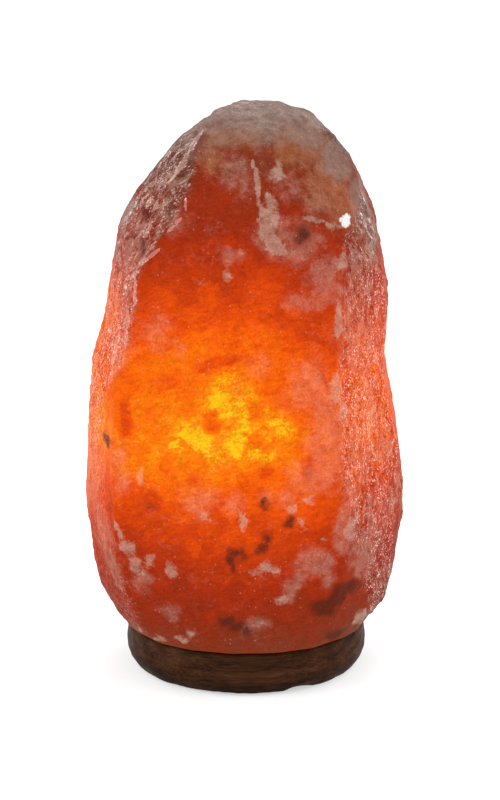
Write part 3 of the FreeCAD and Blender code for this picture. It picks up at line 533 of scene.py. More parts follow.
class SaltPattern:
    """The noises that lie in the salt, and the patterns that they make with the marks on the mesh."""

    def __init__(self, bench: Bench) -> None:
        """Adds the noises to the material on that bench.

        Args:
            bench: the material's bench.
        """
        self.bench = bench
        self.flow = bench.cloud(19.0, 5.0, 0.62)
        self.crumb = bench.cloud(4.6, 5.0, 0.64)
        self.sand = bench.cloud(1.0, 3.0, 0.65)
        self.fray = self.flow * 5.0 + self.crumb * 9.0 + self.sand * 3.0
        self.rough = bench.attribute(Lie.ROUGH)
        self.height = bench.part(bench.place, "Z") / MM
        swayed = bench.drift(6.0, 1.2)
        self.along = bench.node("ShaderNodeCombineXYZ", None, {
            "X": bench.attribute(Lie.BESIDE) * MM,
            "Y": bench.part(swayed, "Y"),
            "Z": bench.part(swayed, "Z") * 0.42,
        }).outputs[0]
        self.streak = bench.cloud(2.3, 3.0, 0.62, self.along)
        self.scratch = bench.cloud(1.5, 3.0, 0.65, bench.stretched((0.4, 1.0, 1.0), (0.0, 14.0, 0.0)))
        self.dots = self._dots()

    def _dots(self) -> Signal:
        """Fine pale grains of crushed salt, from 0 to 1, that lie in loose rows.

        Returns:
            How pale the grain at a point is.
        """
        rows = self.bench.vector("ADD", self.along, self.bench.scaled(self.bench.place, 0.4))
        away, own = self.bench.cells(1.0, rows)
        return away.step(0.52, 0.2) * (own + self.crumb * 0.8).step(0.3, 0.7)

    def stained(self, stain: Stain, fray: Signal, low: float, high: float) -> Signal:
        """Where the marks of one stain lie.

        Args:
            stain: what the marks are made of.
            fray: by how many millimetres their edges are pushed out or in.
            low: how far inside the edge a mark starts to show, in millimetres.
            high: how far inside it shows in full.

        Returns:
            How much it shows, from 0 to 1.
        """
        return (self.bench.attribute(stain) + fray).step(low, high)

    def glow(self, reach: Signal, core: Signal) -> Signal:
        """How much of the painted glow is spent, with clear and thick spots in its way.

        Args:
            reach: how far the light has come.
            core: how near the lamp is, from 0 to 1.

        Returns:
            The level at which the light's colour is read.
        """
        bench, flow, crumb, sand, rough = self.bench, self.flow, self.crumb, self.sand, self.rough
        fray = flow * 4.0 + crumb * 6.0 + sand * 2.0
        flare = self.stained(Stain.FLARE, fray, -2.4, 2.2) * (0.7 + crumb * 1.8 + sand * 1.6)
        amber = self.stained(Stain.AMBER, flow * 22.0 + crumb * 9.0, -8.0, 8.0)
        ember = self.stained(Stain.EMBER, fray, -2.0, 2.2)
        _, flake = bench.cells(9.0, bench.drift(8.0, 4.5))
        patch = bench.cloud(12.0, 4.0, 0.55, bench.drift(14.0, 7.0))
        brush = bench.cloud(2.6, 3.0, 0.6, bench.stretched((0.4, 1.0, 1.0), (0.0, 12.0, 0.0)))
        crackle = bench.thread(4.2, 0.035, bench.drift(3.0, 1.4)) * (core * 0.8 + 0.2)
        level = reach + ember * 0.12 - amber * 0.075 - flare * 0.08 + flow * 0.13 + crumb * 0.06
        level = level - patch * (0.14 + core * 0.10) + (flake - 0.5) * 0.07 + brush * 0.16 + crackle * 0.05
        return level + rough * (0.04 + self.streak * 0.25 + self.height.step(195.0, 235.0) * 0.16)

    def veil(self, core: Signal) -> Signal:
        """How milky the salt is: veins, thin haze, stray patches and threads, and bruises where it is rough.

        Args:
            core: how near the lamp is, from 0 to 1; the light there outshines the milk.

        Returns:
            The milkiness, from 0 to 1.
        """
        bench, flow, crumb, sand, dots = self.bench, self.flow, self.crumb, self.sand, self.dots
        vein = self.stained(Stain.VEIN, self.fray, -1.3, 1.8) * (0.76 + crumb * 1.2 + dots * 0.2)
        milk = self.stained(Stain.MILK, (flow + crumb) * 8.0, -3.0, 3.4) * (0.40 + crumb * 0.9 + dots * 0.4)
        haze = self.stained(Stain.HAZE, self.fray * 1.4, -4.5, 6.0) * (0.34 + crumb + sand * 0.3)
        stray = bench.cloud(22.0, 8.0, 0.7, bench.drift(20.0, 6.0)).step(0.09, 0.22) * (0.14 + dots * 0.3)
        mottle = (bench.cloud(7.0, 6.0, 0.7, bench.drift(9.0, 3.0)) + flow * 0.7).step(0.1, 0.3) * 0.16
        thread = bench.thread(13.0, 0.016, bench.drift(5.0, 1.5)) * (flow + crumb).step(-0.05, 0.2) * 0.14
        bruise = (crumb * 0.6 + self.streak * 0.4 - flow * 1.2).step(-0.04, 0.14) * (0.5 + dots * 0.2)
        milky = bruise * self.rough
        for layer in (vein, milk, haze, stray, mottle, thread):
            milky = milky.highest(layer)
        return milky * core.step(0.0, 1.0, 1.0, 0.62)

    def frost_and_sparkle(self) -> Signal:
        """Where crushed salt is nearly white, from 0 to 1: crests, hewn lines, flecks and loose specks.

        The crests, hewn lines and flecks on the rough bands are also painted sparkle: highlights painted
        bright into colour and glow.

        Returns:
            The frost and its painted sparkle, from 0 to 1.
        """
        crumb, sand, streak, dots = self.crumb, self.sand, self.streak, self.dots
        # crests, hewn lines and flecks are pale crushed salt painted bright as sparkling highlights; the
        # dust is loose specks
        crest = self.stained(Stain.CREST, crumb * 1.6 + sand * 2.2, 0.6, 1.15) * (0.24 + dots * 0.6)
        line = self.bench.thread(5.0, 0.03, self.along) * (streak * 2.0 + sand).step(0.0, 0.4)
        clump = (crumb + self.flow * 1.1 + streak * 0.5).step(-0.12, 0.12)
        fleck = dots * clump * self.height.step(195.0, 225.0, 1.0, 0.6)
        away, own = self.bench.cells(2.4, self.bench.place)
        dust = away.step(0.2, 0.08) * (own + self.flow * 1.8).step(0.74, 0.84) * 0.2
        return crest.highest(line * self.rough * 0.5).highest(fleck * self.rough).highest(dust)


@dataclass(frozen=True)
class WoodFinish:
    """Dark oiled hardwood, with its grain along the plank and the fine rings of the lathe, and painted shade
    towards its bottom edge.
    """

    dark: Colour = (0.014, 0.005, 0.002)
    brown: Colour = (0.046, 0.016, 0.006)
    light: Colour = (0.085, 0.034, 0.014)

    def material(self) -> bpy.types.Material:
        """The wood's material.

        Returns:
            The material.
        """
        bench = Bench.new("oiled_wood")
        plank = bench.drift(60.0, 5.0)
        rings = bench.cloud(3.4, 4.0, 0.62, bench.vector("MULTIPLY", plank, (0.05, 0.45, 1.0)))
        fibre = bench.cloud(0.7, 3.0, 0.6, bench.vector("MULTIPLY", plank, (0.035, 0.8, 1.0)))
        away, _ = bench.cells(1.4, bench.vector("MULTIPLY", plank, (0.12, 1.0, 1.0)))
        pore = away.step(0.26, 0.08) * fibre.step(-0.05, 0.2)
        blotch = bench.cloud(24.0, 3.0, 0.55)
        # painted shade: the wood darkens towards its bottom edge, where shade falls under the base
        low = (bench.part(bench.place, "Z") / MM).step(12.0, 1.0)
        level = 0.5 + rings * 1.5 + fibre * 1.1 + blotch * 0.6 - pore * 0.5 - low * 0.28
        colour = bench.ramp(level, ((0.15, self.dark), (0.55, self.brown), (0.95, self.light)))
        return bench.finish(
            base_color=colour,
            roughness=(0.44 - rings * 0.25 + pore * 0.3 + blotch * 0.2).step(0.1, 0.8, 0.28, 0.66),
            normal=bench.bump(rings * 0.5 + fibre * 0.5 - pore * 0.7, 0.35),
            specular_ior_level=0.02,
            coat_weight=0.03,
            coat_roughness=0.30,
        )


@dataclass(frozen=True)
class MouldedFinish:
    """A moulded plastic, nylon or rubber: one colour, a fine skin, and the dust of use."""

    name: str
    colour: Colour
    roughness: float = 0.45
    skin: float = 0.06
    dust: float = 0.10
    dust_colour: Colour = (0.42, 0.40, 0.37)

    def material(self) -> bpy.types.Material:
        """The moulded piece's material.

        Returns:
            The material.
        """
        bench = Bench.new(self.name)
        skin = bench.cloud(0.9, 3.0, 0.6)
        cloudy = bench.cloud(9.0, 4.0, 0.6)
        shade = tuple(value * 0.82 for value in self.colour)
        body = bench.mix(cloudy.step(-0.2, 0.25), self.colour, shade)
        dusty = bench.mix(cloudy.step(0.0, 0.3) * self.dust, body, self.dust_colour)
        return bench.finish(
            base_color=dusty,
            roughness=self.roughness + skin * 0.12 + cloudy * 0.14,
            normal=bench.bump(skin, self.skin),
        )


@dataclass(frozen=True)
class MetalFinish:
    """A plated or turned metal with fine brush marks and a little tarnish."""

    name: str
    colour: Colour
    roughness: float = 0.3
    tarnish: Colour = (0.20, 0.17, 0.14)
    brush: Point = (1.0, 1.0, 0.06)

    def material(self) -> bpy.types.Material:
        """The metal piece's material.

        Returns:
            The material.
        """
        bench = Bench.new(self.name)
        brushed = bench.cloud(0.22, 2.0, 0.6, bench.vector("MULTIPLY", bench.place, self.brush))
        cloudy = bench.cloud(5.0, 4.0, 0.62)
        return bench.finish(
            base_color=bench.mix(cloudy.step(0.04, 0.3) * 0.4, self.colour, self.tarnish),
            metallic=1.0,
            roughness=self.roughness + brushed * 0.16 + cloudy * 0.18,
            normal=bench.bump(brushed, 0.03),
        )


@dataclass(frozen=True)
class GlassFinish:
    """Blown glass, with the faint smears of handling."""

    name: str = "blown_glass"
    colour: Colour = (0.98, 0.99, 0.985)

    def material(self) -> bpy.types.Material:
        """The glass's material.

        Returns:
            The material.
        """
        bench = Bench.new(self.name)
        smear = bench.cloud(7.0, 4.0, 0.6)
        return bench.finish(
            base_color=self.colour,
            transmission_weight=1.0,
            ior=1.5,
            roughness=smear.step(0.0, 0.3, 0.01, 0.07),
            normal=bench.bump(bench.cloud(14.0, 1.0), 0.05),
        )


@dataclass(frozen=True)
class HotWireFinish:
    """A tungsten coil at a low heat."""

    colour: Colour = (1.0, 0.52, 0.16)
    cooler: Colour = (0.9, 0.28, 0.05)
    bare: Colour = (0.2, 0.18, 0.16)
    strength: float = 9.0

    def material(self) -> bpy.types.Material:
        """The coil's material, a little cooler towards its ends.

        Returns:
            The material.
        """
        bench = Bench.new("hot_tungsten")
        away = bench.measure("LENGTH", bench.vector("MULTIPLY", bench.place, (1.0, 0.0, 0.0))) / MM
        light = bench.mix(away.step(5.0, 9.0), self.colour, self.cooler)
        return bench.finish(
            base_color=self.bare,
            metallic=1.0,
            roughness=0.4 + bench.cloud(0.5) * 0.2,
            emission_color=light,
            emission_strength=self.strength,
        )


@dataclass(frozen=True)
class FloorFinish:
    """The studio's plain pale floor."""

    colour: Colour = (0.50, 0.50, 0.50)
    light: Colour = (0.52, 0.52, 0.52)

    def material(self) -> bpy.types.Material:
        """The floor's material, lit a little from within to keep shadows faint, and clear from below.

        Returns:
            The material.
        """
        bench = Bench.new("pale_floor")
        return bench.finish(
            base_color=self.colour,
            roughness=0.9,
            specular_ior_level=0.0,
            emission_color=self.light,
            emission_strength=1.0,
            alpha=1.0 - Signal(bench, bench.node("ShaderNodeNewGeometry").outputs["Backfacing"]),
        )


# ---------------------------------------------------------------- mesh helpers
def coordinates(mesh: bpy.types.Mesh) -> np.ndarray:
    """The mesh's vertices as rows of x, y, z.

    Args:
        mesh: the mesh.

    Returns:
        An array of floats, one row a vertex.
    """
    flat = np.empty(len(mesh.vertices) * 3)
    mesh.vertices.foreach_get("co", flat)
    return flat.reshape(-1, 3)


def outward(mesh: bpy.types.Mesh) -> np.ndarray:
    """The vertices' normals as rows of x, y, z.

    Args:
        mesh: the mesh.

    Returns:
        An array of floats, one row a vertex.
    """
    flat = np.empty(len(mesh.vertices) * 3, np.float32)
    mesh.vertex_normals.foreach_get("vector", flat)
    return flat.reshape(-1, 3).astype(float)


def smooth_step(values: np.ndarray, low: float, high: float) -> np.ndarray:
    """0 below low, 1 above high, and a smooth rise between them."""
    share = np.clip((values - low) / (high - low), 0.0, 1.0)
    return share * share * (3.0 - 2.0 * share)


def lumps(points: np.ndarray, width: float) -> np.ndarray:
    """Smooth noise from about -1 to 1 whose lumps are that wide, one number for each point."""
    return np.array([noise.noise(Vector(point) / width) for point in points])


def layered_lumps(points: np.ndarray, width: float) -> np.ndarray:
    """The same in three layers, each about half as wide and as strong as the last."""
    return np.array([noise.fractal(Vector(point) / width, 0.8, 2.1, 3) for point in points])


def lumpy_vectors(points: np.ndarray, width: float) -> np.ndarray:
    """Smooth noise as rows of x, y, z from about -1 to 1, for pushing points about."""
    return np.array([noise.noise_vector(Vector(point) / width) for point in points])


def added(name: str, data: bpy.types.ID) -> bpy.types.Object:
    """A new object of that name and data, in the scene.

    Args:
        name: the object's name.
        data: its mesh, curve, light or camera.

    Returns:
        The object.
    """
    made = bpy.data.objects.new(name, data)
    bpy.context.scene.collection.objects.link(made)
    return made


def remeshed(source: bpy.types.Object, name: str, voxel: float, passes: int) -> bpy.types.Object:
    """A new piece with the source's shape in even, slightly softened faces.

    Args:
        source: the object whose shape is taken.
        name: the new piece's name.
        voxel: the size of its faces in metres.
        passes: how many times it is smoothed.

    Returns:
        The new piece, with no modifiers.
    """
    rough = added(name + "_draft", source.data.copy())
    weld = rough.modifiers.new("weld", "WELD")
    weld.merge_threshold = WELD
    even = rough.modifiers.new("even", "REMESH")
    even.mode = "VOXEL"
    even.voxel_size = voxel
    soften = rough.modifiers.new("soften", "SMOOTH")
    soften.factor = 0.5
    soften.iterations = passes
    depsgraph = bpy.context.evaluated_depsgraph_get()
    mesh = bpy.data.meshes.new_from_object(rough.evaluated_get(depsgraph))
    bpy.data.objects.remove(rough)
    mesh.name = name
    mesh.materials.clear()
    mesh.shade_smooth()
    return added(name, mesh)


def place_vertices(piece: bpy.types.Object, points: np.ndarray) -> None:
    """Moves the piece's vertices to those rows of x, y, z."""
    piece.data.vertices.foreach_set("co", points.astype(np.float32).ravel())
    piece.data.update()


def store(piece: bpy.types.Object, meaning: Enum, values: np.ndarray) -> None:
    """Stores one number for each vertex under that option's name, for the material to read."""
    layer = piece.data.attributes.new(meaning.value, "FLOAT", "POINT")
    layer.data.foreach_set("value", values.astype(np.float32))


def dress(piece: bpy.types.Object, material: bpy.types.Material) -> None:
    """Gives the whole piece one material.

    Args:
        piece: the object.
        material: what it is made of.
    """
    piece.data.materials.clear()
    piece.data.materials.append(material)
    LOG.info("%s: %s, %d faces", piece.name, material.name, len(piece.data.polygons))


# ---------------------------------------------------------------- the crystal
Marks = tuple[tuple[float, ...], ...]
Edge = tuple[tuple[float, float], ...]


@dataclass
class SaltCrystal:
    """The hewn crystal: its skin over the frame's solid, and the marks that lie in its front.

    Sizes are millimetres, and the face is the size of the skin's own faces. A mark is how far across and
    up its middle lies, half its width and half its height, and by how many degrees its top leans to the
    right. The sways push the marks about, each with the width of its lumps and how far it pushes. The
    marks reach back to marks_end, and off them the mesh stores no less than outside. An edge runs down
    the front, as points across and up.
    """

    face: float = 1.35
    softening: int = 2
    foot_height: float = 22.0
    cavity_radius: float = 31.0
    cavity_top: float = 158.0
    outside: float = -12.0
    marks_end: float = 2.0
    ridge_height: float = 0.6
    sways: tuple[tuple[float, float], ...] = ((9.0, 2.2), (4.0, 0.9))
    left_edge: Edge = (
        (-17, 284), (-19, 271), (-23, 264), (-24, 254), (-28, 240), (-34, 230), (-40, 223), (-47, 212),
        (-52, 200), (-52, 190), (-54, 179), (-58, 165), (-65, 150), (-68, 138), (-69, 118), (-66, 95),
        (-61, 70), (-53, 48), (-45, 20),
    )
    right_edge: Edge = (
        (62, 284), (60, 255), (52, 236), (46, 222), (45, 198), (45, 175), (43, 156), (44, 135), (46, 111),
        (50, 90), (54, 69), (59, 49), (60, 20),
    )
    ledge: Edge = ((17, 242), (23, 239), (28, 235), (34, 231), (40, 228), (49, 225), (57, 217))
    marks: Mapping[Stain, Marks] = field(default_factory=lambda: {
        Stain.VEIN: (
            (4.8, 251, 0.9, 12, -9), (7.4, 237, 1.1, 6, -14), (11.8, 239, 2.3, 5.2, -5),
            (11, 232, 4.7, 6.2, 5), (13.2, 223, 4.2, 6, -25), (8.5, 228, 2.8, 3.5, -30),
            (15, 253.5, 3.8, 4.2, 0), (-3.6, 219.5, 2.3, 2, -30), (-21, 204, 2.3, 1.4, 0),
            (-8.7, 207.5, 2.1, 2.7, 0), (45.5, 212.5, 2.8, 4.3, 0), (32.5, 232.5, 6.5, 1, 22),
            (41, 228, 5, 0.9, 18), (43.5, 188, 1.9, 9, 0), (42, 155, 2.4, 7, 0), (45.5, 141, 2.2, 6.5, 0),
            (-20, 93.5, 2.8, 1.5, 40), (-1.3, 92, 1.7, 5, 0), (22.5, 98.5, 2.8, 2.5, 0),
            (30, 102, 3.3, 2, 0), (27, 90, 1.4, 4.5, -20), (36, 82, 1.2, 2, 0), (4, 65.5, 3.2, 2.2, 0),
            (11.5, 69, 3.4, 2.4, 20), (50.5, 86.5, 2.9, 7.6, 5), (-30, 30, 3.9, 2.8, 0),
            (-27, 34.5, 2.4, 2.2, 0), (-60, 85, 1.6, 5.1, -20), (-56, 77, 2.9, 4.1, -30),
            (-52, 67, 2.9, 4.8, -10), (-46.5, 71, 2.4, 3.7, 0), (-35.5, 67, 2.6, 3.4, 0),
            (18, 52, 1.9, 2.6, 0), (62, 133.5, 3.4, 6, 0), (61, 116.5, 1.7, 3.3, 0),
            (57, 35, 3.9, 4.5, 30), (-49.5, 112, 1.4, 5.4, 0), (-52.5, 27, 1.7, 1.8, 0),
            (-42, 26.5, 2.4, 2.6, 0),
        ),
        Stain.MILK: (
            (40, 208, 4.2, 8.5, 8), (-6.8, 217.5, 5, 2.7, 15), (-24, 97, 7, 2.8, 40),
            (9.5, 104.5, 3.3, 3, 0), (19, 104, 4.7, 3.9, -20), (32, 71, 9.5, 8, -10),
            (38.5, 64, 3.8, 6.4, 0), (22.5, 57, 3.3, 7.2, 10), (26, 64.5, 4.8, 5.2, 0),
            (56.5, 70, 6.3, 12, 8), (61, 75, 3.4, 7.6, 0), (6.3, 39.5, 6, 3.4, 0), (47, 86, 5, 13, 0),
            # the mark at -79 across is a painted pale rim of light along the left outline as well as milk
            (-79, 138, 4.5, 42, 0), (0.6, 36.5, 3.8, 2.6, 0), (-36, 44, 3.8, 3.9, 0),
            (-49.5, 60, 4.3, 4.3, 0),
        ),
        Stain.HAZE: (
            (38, 132, 10, 24, 0), (31, 154, 12, 9, -10), (30, 112, 11, 8, 0), (-59, 178, 6, 20, 8),
            (6.5, 270.5, 3.8, 6.8, 0), (-5.5, 253, 6, 6.7, 10), (-0.8, 247.5, 3.7, 6, 0),
            (26.5, 216.5, 6.5, 4, 0), (31, 196, 14, 5, 0), (-41, 181.5, 4.2, 8.8, 0),
            (8, 167.5, 3.7, 3.7, 0), (29, 160, 9.4, 9.4, 0), (39.5, 149, 3.3, 9.5, 0),
            (-32, 174, 2.3, 3.7, 0), (34, 241, 7.5, 6.6, 0), (21.5, 246, 4.7, 6, 0),
            (-35.5, 234, 7.5, 6, 30), (-21.5, 103, 7.6, 6, 0), (-4.6, 100, 4.7, 5, 0),
            (20, 224, 16, 9, 10), (38, 206, 9, 11, 0), (54, 180, 8, 26, 0), (-61, 192, 8, 20, 12),
            (56, 132, 7, 26, 0), (-57, 217, 5, 18, 14), (50, 105, 6, 12, 0), (-59.5, 114.5, 3.8, 12.7, 0),
            # the marks at -76 and -67 across are a painted pale rim of light along the left outline as well
            # as haze
            (-76, 120, 7, 34, 0), (-67, 74, 5, 22, -18), (37.5, 259, 4.8, 5, 0), (41, 254, 3.8, 3.3, 0),
            (26, 272.5, 5.7, 3.1, 0),
        ),
        Stain.CLAY: (
            (26, 227, 3.7, 2.6, 0), (23.5, 225, 1.9, 1.3, 0), (9, 100.5, 1.6, 2.3, 0),
            (20, 90, 3.3, 1.5, -20), (21.5, 92.5, 1.9, 1.5, 0), (-4.2, 77, 3.8, 2, 10),
            (-7, 73, 1.9, 3, 0), (-0.8, 74.5, 2.4, 2, 0), (-5.6, 69, 1.1, 2.5, 0), (48, 55, 6.5, 4.5, 10),
            (44, 51, 5, 4.5, 0), (51.5, 54.5, 2.4, 2.2, 0), (37, 46.5, 6.5, 4.5, 20),
            (41.5, 49.5, 3.4, 2.7, 0), (-10, 41.5, 3.8, 2.6, -30), (-4.7, 38, 4.3, 2.6, -20),
            (0, 35, 2.9, 2.1, 0), (-47, 234.5, 1.4, 2.4, 0), (-48.5, 232, 1.4, 1.2, 0),
            (-49.5, 219, 2.4, 4, 0), (9.5, 82.5, 1.9, 2.5, 0), (7.5, 78.5, 3.3, 3.5, 0),
            (42.5, 30, 3.9, 4, 0), (-66, 127.5, 1.7, 2.4, 0),
        ),
        Stain.AMBER: (
            (-27, 126, 24, 18, 0), (6, 128, 21, 15, -15), (-8, 151, 13, 11, 0), (-48, 131, 15, 24, 10),
            (-64, 138, 9, 30, 0), (-28, 110, 20, 9, -25),
        ),
        Stain.FLARE: (
            (-26.3, 135.5, 5.4, 3.8, 0), (-20, 131, 3.8, 6, -20), (-5, 151.5, 9.5, 5.6, 0),
            (-8.5, 160, 4.5, 3.5, 0), (-3.8, 130, 3.4, 6, 0), (-0.5, 141, 1.8, 6, 0),
            (16.5, 139.5, 3.6, 10.5, -38), (7.5, 124.3, 7, 3, 0), (-10, 146, 8, 1.3, -15),
            (-50, 132, 1.5, 4.2, 14), (-33, 127, 3, 2.4, 0), (-14, 122, 4.5, 2.4, 20),
        ),
        Stain.EMBER: (
            (-15, 139.5, 4.0, 6.4, 25), (3, 141.7, 2.0, 1.6, 0), (9, 116, 4.2, 3.2, 0),
            (-44, 101, 5, 5, 0), (-57, 140, 3.4, 9, 0), (-25, 112, 1.9, 1.9, 0), (28, 117, 2.8, 5, 0),
            (-13, 168, 9, 3, -10),
        ),
        Stain.SMOKE: (
            (25.5, 262.5, 12.3, 9.1, 0), (37.5, 246.5, 10.4, 10.7, 0), (47, 234.5, 7.6, 8.3, 0),
            (20, 269, 7.6, 5.7, 0), (59.5, 218, 4.8, 11, 0), (-6, 269, 14, 5.5, 0), (-16, 259, 5, 5, 0),
        ),
        # painted highlights: glints of cleavage faces that mirror the lamps
        Stain.GLINT: ((47, 229.5, 2.8, 3.4, 0), (44.8, 230.5, 1.8, 1.6, 0), (-57.5, 199.5, 0.9, 1.3, 30)),
        # painted rim light along the top outline
        Stain.RIME: (
            (-45, 253, 2.4, 17, 42), (-58, 231, 2.2, 12, 22), (-64, 212, 1.6, 8, 8), (-26, 268, 5, 8, 60),
            (44, 256, 6, 10, -28), (55, 237, 4.5, 11, -18), (60.5, 219, 3, 10, -8), (27, 269, 12, 5, 25),
        ),
        # crest lines: pale crushed salt painted bright as highlights, and raised as ridges
        Stain.CREST: (
            (-26.5, 261.5, 1.2, 12, 38), (-32, 252.5, 1.1, 8, 42), (-39, 248, 1.1, 7.2, 40),
            (-40.5, 237.5, 1.1, 5.6, 60), (-28, 239, 1.1, 4.3, 0), (-33, 230, 1.1, 6.1, 45),
            (-45, 215, 1.2, 7.9, 50), (-53, 206, 1.4, 5.9, 50), (-51.5, 200, 1.1, 9.1, 0),
            (-46.5, 237, 1.4, 3.6, 20), (-61.5, 170.5, 1.2, 9.1, 12), (-55.5, 181.5, 1.2, 10, 4),
            (-33.5, 259, 1.0, 6, 48), (-46, 226, 1.1, 5, 30),
        ),
    })

    def build(self, node: bpy.types.Object) -> bpy.types.Object:
        """Makes the crystal's skin.

        Args:
            node: the frame's solid crystal.

        Returns:
            The dressed skin, with what lies in it stored on its vertices.
        """
        skin = remeshed(node, "crystal_skin", self.face * MM, self.softening)
        points = coordinates(skin.data) / MM
        rough = self._rough(points)
        store(skin, Lie.ROUGH, rough)
        store(skin, Lie.BESIDE, self._beside(points))
        swayed = points.copy()
        for width, reach in self.sways:
            swayed += lumpy_vectors(points, width) * reach
        for stain, marks in self.marks.items():
            store(skin, stain, self._marked(points if stain is Stain.CREST else swayed, marks))
        crests = self._marked(points, self.marks[Stain.CREST])
        ridges = np.exp(-np.minimum(crests, 0.0) ** 2 / 2.0) * self.ridge_height
        push = (self._push(points, rough) + ridges) * self._free(points)
        moved = points + outward(skin.data) * push[:, None]
        low, high = (np.array(corner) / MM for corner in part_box(node.name))
        place_vertices(skin, np.clip(moved, low, high) * MM)
        dress(skin, SaltFinish().material())
        return skin

    def _free(self, points: np.ndarray) -> np.ndarray:
        """1 where the skin may move, and 0 on the sawn foot and in the drilled cavity.

        Args:
            points: rows of x, y, z in millimetres.

        Returns:
            A share for each point.
        """
        above_foot = smooth_step(points[:, 2], self.foot_height + 0.6, self.foot_height + 5.0)
        out = np.hypot(points[:, 0], points[:, 1])
        beyond = np.maximum(
            smooth_step(out, self.cavity_radius, self.cavity_radius + 2.0),
            smooth_step(points[:, 2], self.cavity_top, self.cavity_top + 2.0),
        )
        return above_foot * beyond

    @staticmethod
    def _across(points: np.ndarray, edge: Edge) -> np.ndarray:
        """How far each point lies to the right of an edge, in millimetres.

        Args:
            points: rows of x, y, z in millimetres.
            edge: the edge, from its top down.

        Returns:
            A distance for each point, less than nought to the left.
        """
        heights = np.array([up for _, up in edge][::-1], float)
        across = np.array([out for out, _ in edge][::-1], float)
        return points[:, 0] - np.interp(points[:, 2], heights, across)

    def _beside(self, points: np.ndarray) -> np.ndarray:
        """How far each point lies beside the nearer edge, so that flecks can run along it.

        Args:
            points: rows of x, y, z in millimetres.

        Returns:
            A distance for each point, in millimetres.
        """
        share = smooth_step(points[:, 0], -45.0, 45.0)
        left = self._across(points, self.left_edge)
        return left * (1.0 - share) + self._across(points, self.right_edge) * share

    def _rough(self, points: np.ndarray) -> np.ndarray:
        """How rough the hewn surface is, from 0 on the smooth front face to 1 on the broken sides.

        Args:
            points: rows of x, y, z in millimetres.

        Returns:
            A roughness for each point.
        """
        wander = lumps(points, 9.0) * 2.2 + lumps(points, 3.5) * 1.2
        left = smooth_step(-self._across(points, self.left_edge) + wander, -1.2, 1.8)
        right = smooth_step(self._across(points, self.right_edge) + wander * 1.4, -2.0, 3.5)
        side = np.maximum(left * (0.25 + 0.75 * smooth_step(points[:, 2], 98.0, 150.0)), right)
        behind = smooth_step(points[:, 1] + wander, -14.0, -4.0)
        back = 0.12 + 0.55 * smooth_step(lumps(points, 34.0), -0.2, 0.35)
        return side * (1.0 - behind) + back * behind

    def _push(self, points: np.ndarray, rough: np.ndarray) -> np.ndarray:
        """How far each point of the skin stands out or in, in millimetres.

        Args:
            points: rows of x, y, z in millimetres.
            rough: how rough the salt is at each of them.

        Returns:
            A height for each point, less than nought where it lies in.
        """
        swell = layered_lumps(points, 30.0)
        grain = layered_lumps(points, 5.0)
        hewn = np.column_stack((self._beside(points), points[:, 1], points[:, 2] * 0.27))
        fibre = layered_lumps(hewn, 3.4)
        chips = self._chips(points, 12.0) * 0.6 + self._chips(points, 6.0) * 0.35
        left = -self._across(points, self.left_edge)
        right = self._across(points, self.right_edge)
        front = smooth_step(-points[:, 1], 4.0, 14.0)
        left_crease = np.exp(-(left / 1.6) ** 2) * 0.5 - smooth_step(left, 0.0, 5.0) * 0.7
        right_crease = np.exp(-(right / 1.8) ** 2) * 0.35 - smooth_step(right, 0.0, 6.0) * 0.4
        crease = (
            left_crease * smooth_step(points[:, 2], 120.0, 160.0)
            + right_crease * smooth_step(points[:, 2], 60.0, 110.0)
        ) * front
        return (
            swell * (0.35 + 0.35 * rough) + grain * (0.2 + 0.55 * rough)
            + lumps(points, 2.7) * (0.12 + 0.45 * rough)
            + fibre * rough * 0.6 + chips * (0.12 + 0.88 * rough) + crease + self._ledge_push(points) * front
        )

    def _ledge_push(self, points: np.ndarray) -> np.ndarray:
        """The step where the smoky top stands proud of the face below it.

        Args:
            points: rows of x, y, z in millimetres.

        Returns:
            A height for each point, in millimetres.
        """
        out = np.array([across for across, _ in self.ledge], float)
        heights = np.array([up for _, up in self.ledge], float)
        above = points[:, 2] - np.interp(points[:, 0], out, heights)
        span = smooth_step(points[:, 0], out[0] - 4.0, out[0] + 8.0)
        step = smooth_step(above, -0.8, 0.8) * np.exp(-np.maximum(above, 0.0) / 16.0)
        return (step * 1.3 - np.exp(-((above + 3.0) / 3.5) ** 2) * 0.8) * span

    @staticmethod
    def _chips(points: np.ndarray, spacing: float) -> np.ndarray:
        """Shallow hollows where flakes broke away, as depths of at most about one millimetre.

        Args:
            points: rows of x, y, z in millimetres.
            spacing: about how wide a chip is, in millimetres.

        Returns:
            A height for each point, about nought.
        """
        heights = np.empty(len(points))
        for row, point in enumerate(points):
            here = Vector(point) / spacing
            _, middles = noise.voronoi(here, distance_metric="DISTANCE_SQUARED")
            flakes = ((here - middle, noise.noise_vector(middle * 3.7)) for middle in middles[:3])
            heights[row] = min(way.length_squared * 0.9 + way.dot(tilt) * 1.1 for way, tilt in flakes)
        return np.clip(heights - np.mean(heights), -0.7, 0.7) * spacing / 8.0

    def _marked(self, points: np.ndarray, marks: Marks) -> np.ndarray:
        """How far inside the nearest mark's edge each point of the front lies: less than nought outside.

        Args:
            points: rows of x, y, z in millimetres.
            marks: the marks of one stain.

        Returns:
            A distance for each point, in millimetres.
        """
        deepest = np.full(len(points), self.outside)
        for across, up, half_width, half_height, lean in marks:
            angle = math.radians(lean)
            out, rise = points[:, 0] - across, points[:, 2] - up
            along = out * math.sin(angle) + rise * math.cos(angle)
            aside = out * math.cos(angle) - rise * math.sin(angle)
            share = np.maximum(np.hypot(aside / half_width, along / half_height), 0.001)
            inside = (1.0 - share) * np.maximum(np.hypot(aside, along), 0.001) / share
            deepest = np.maximum(deepest, inside)
        return np.where(points[:, 1] < self.marks_end, deepest, self.outside)


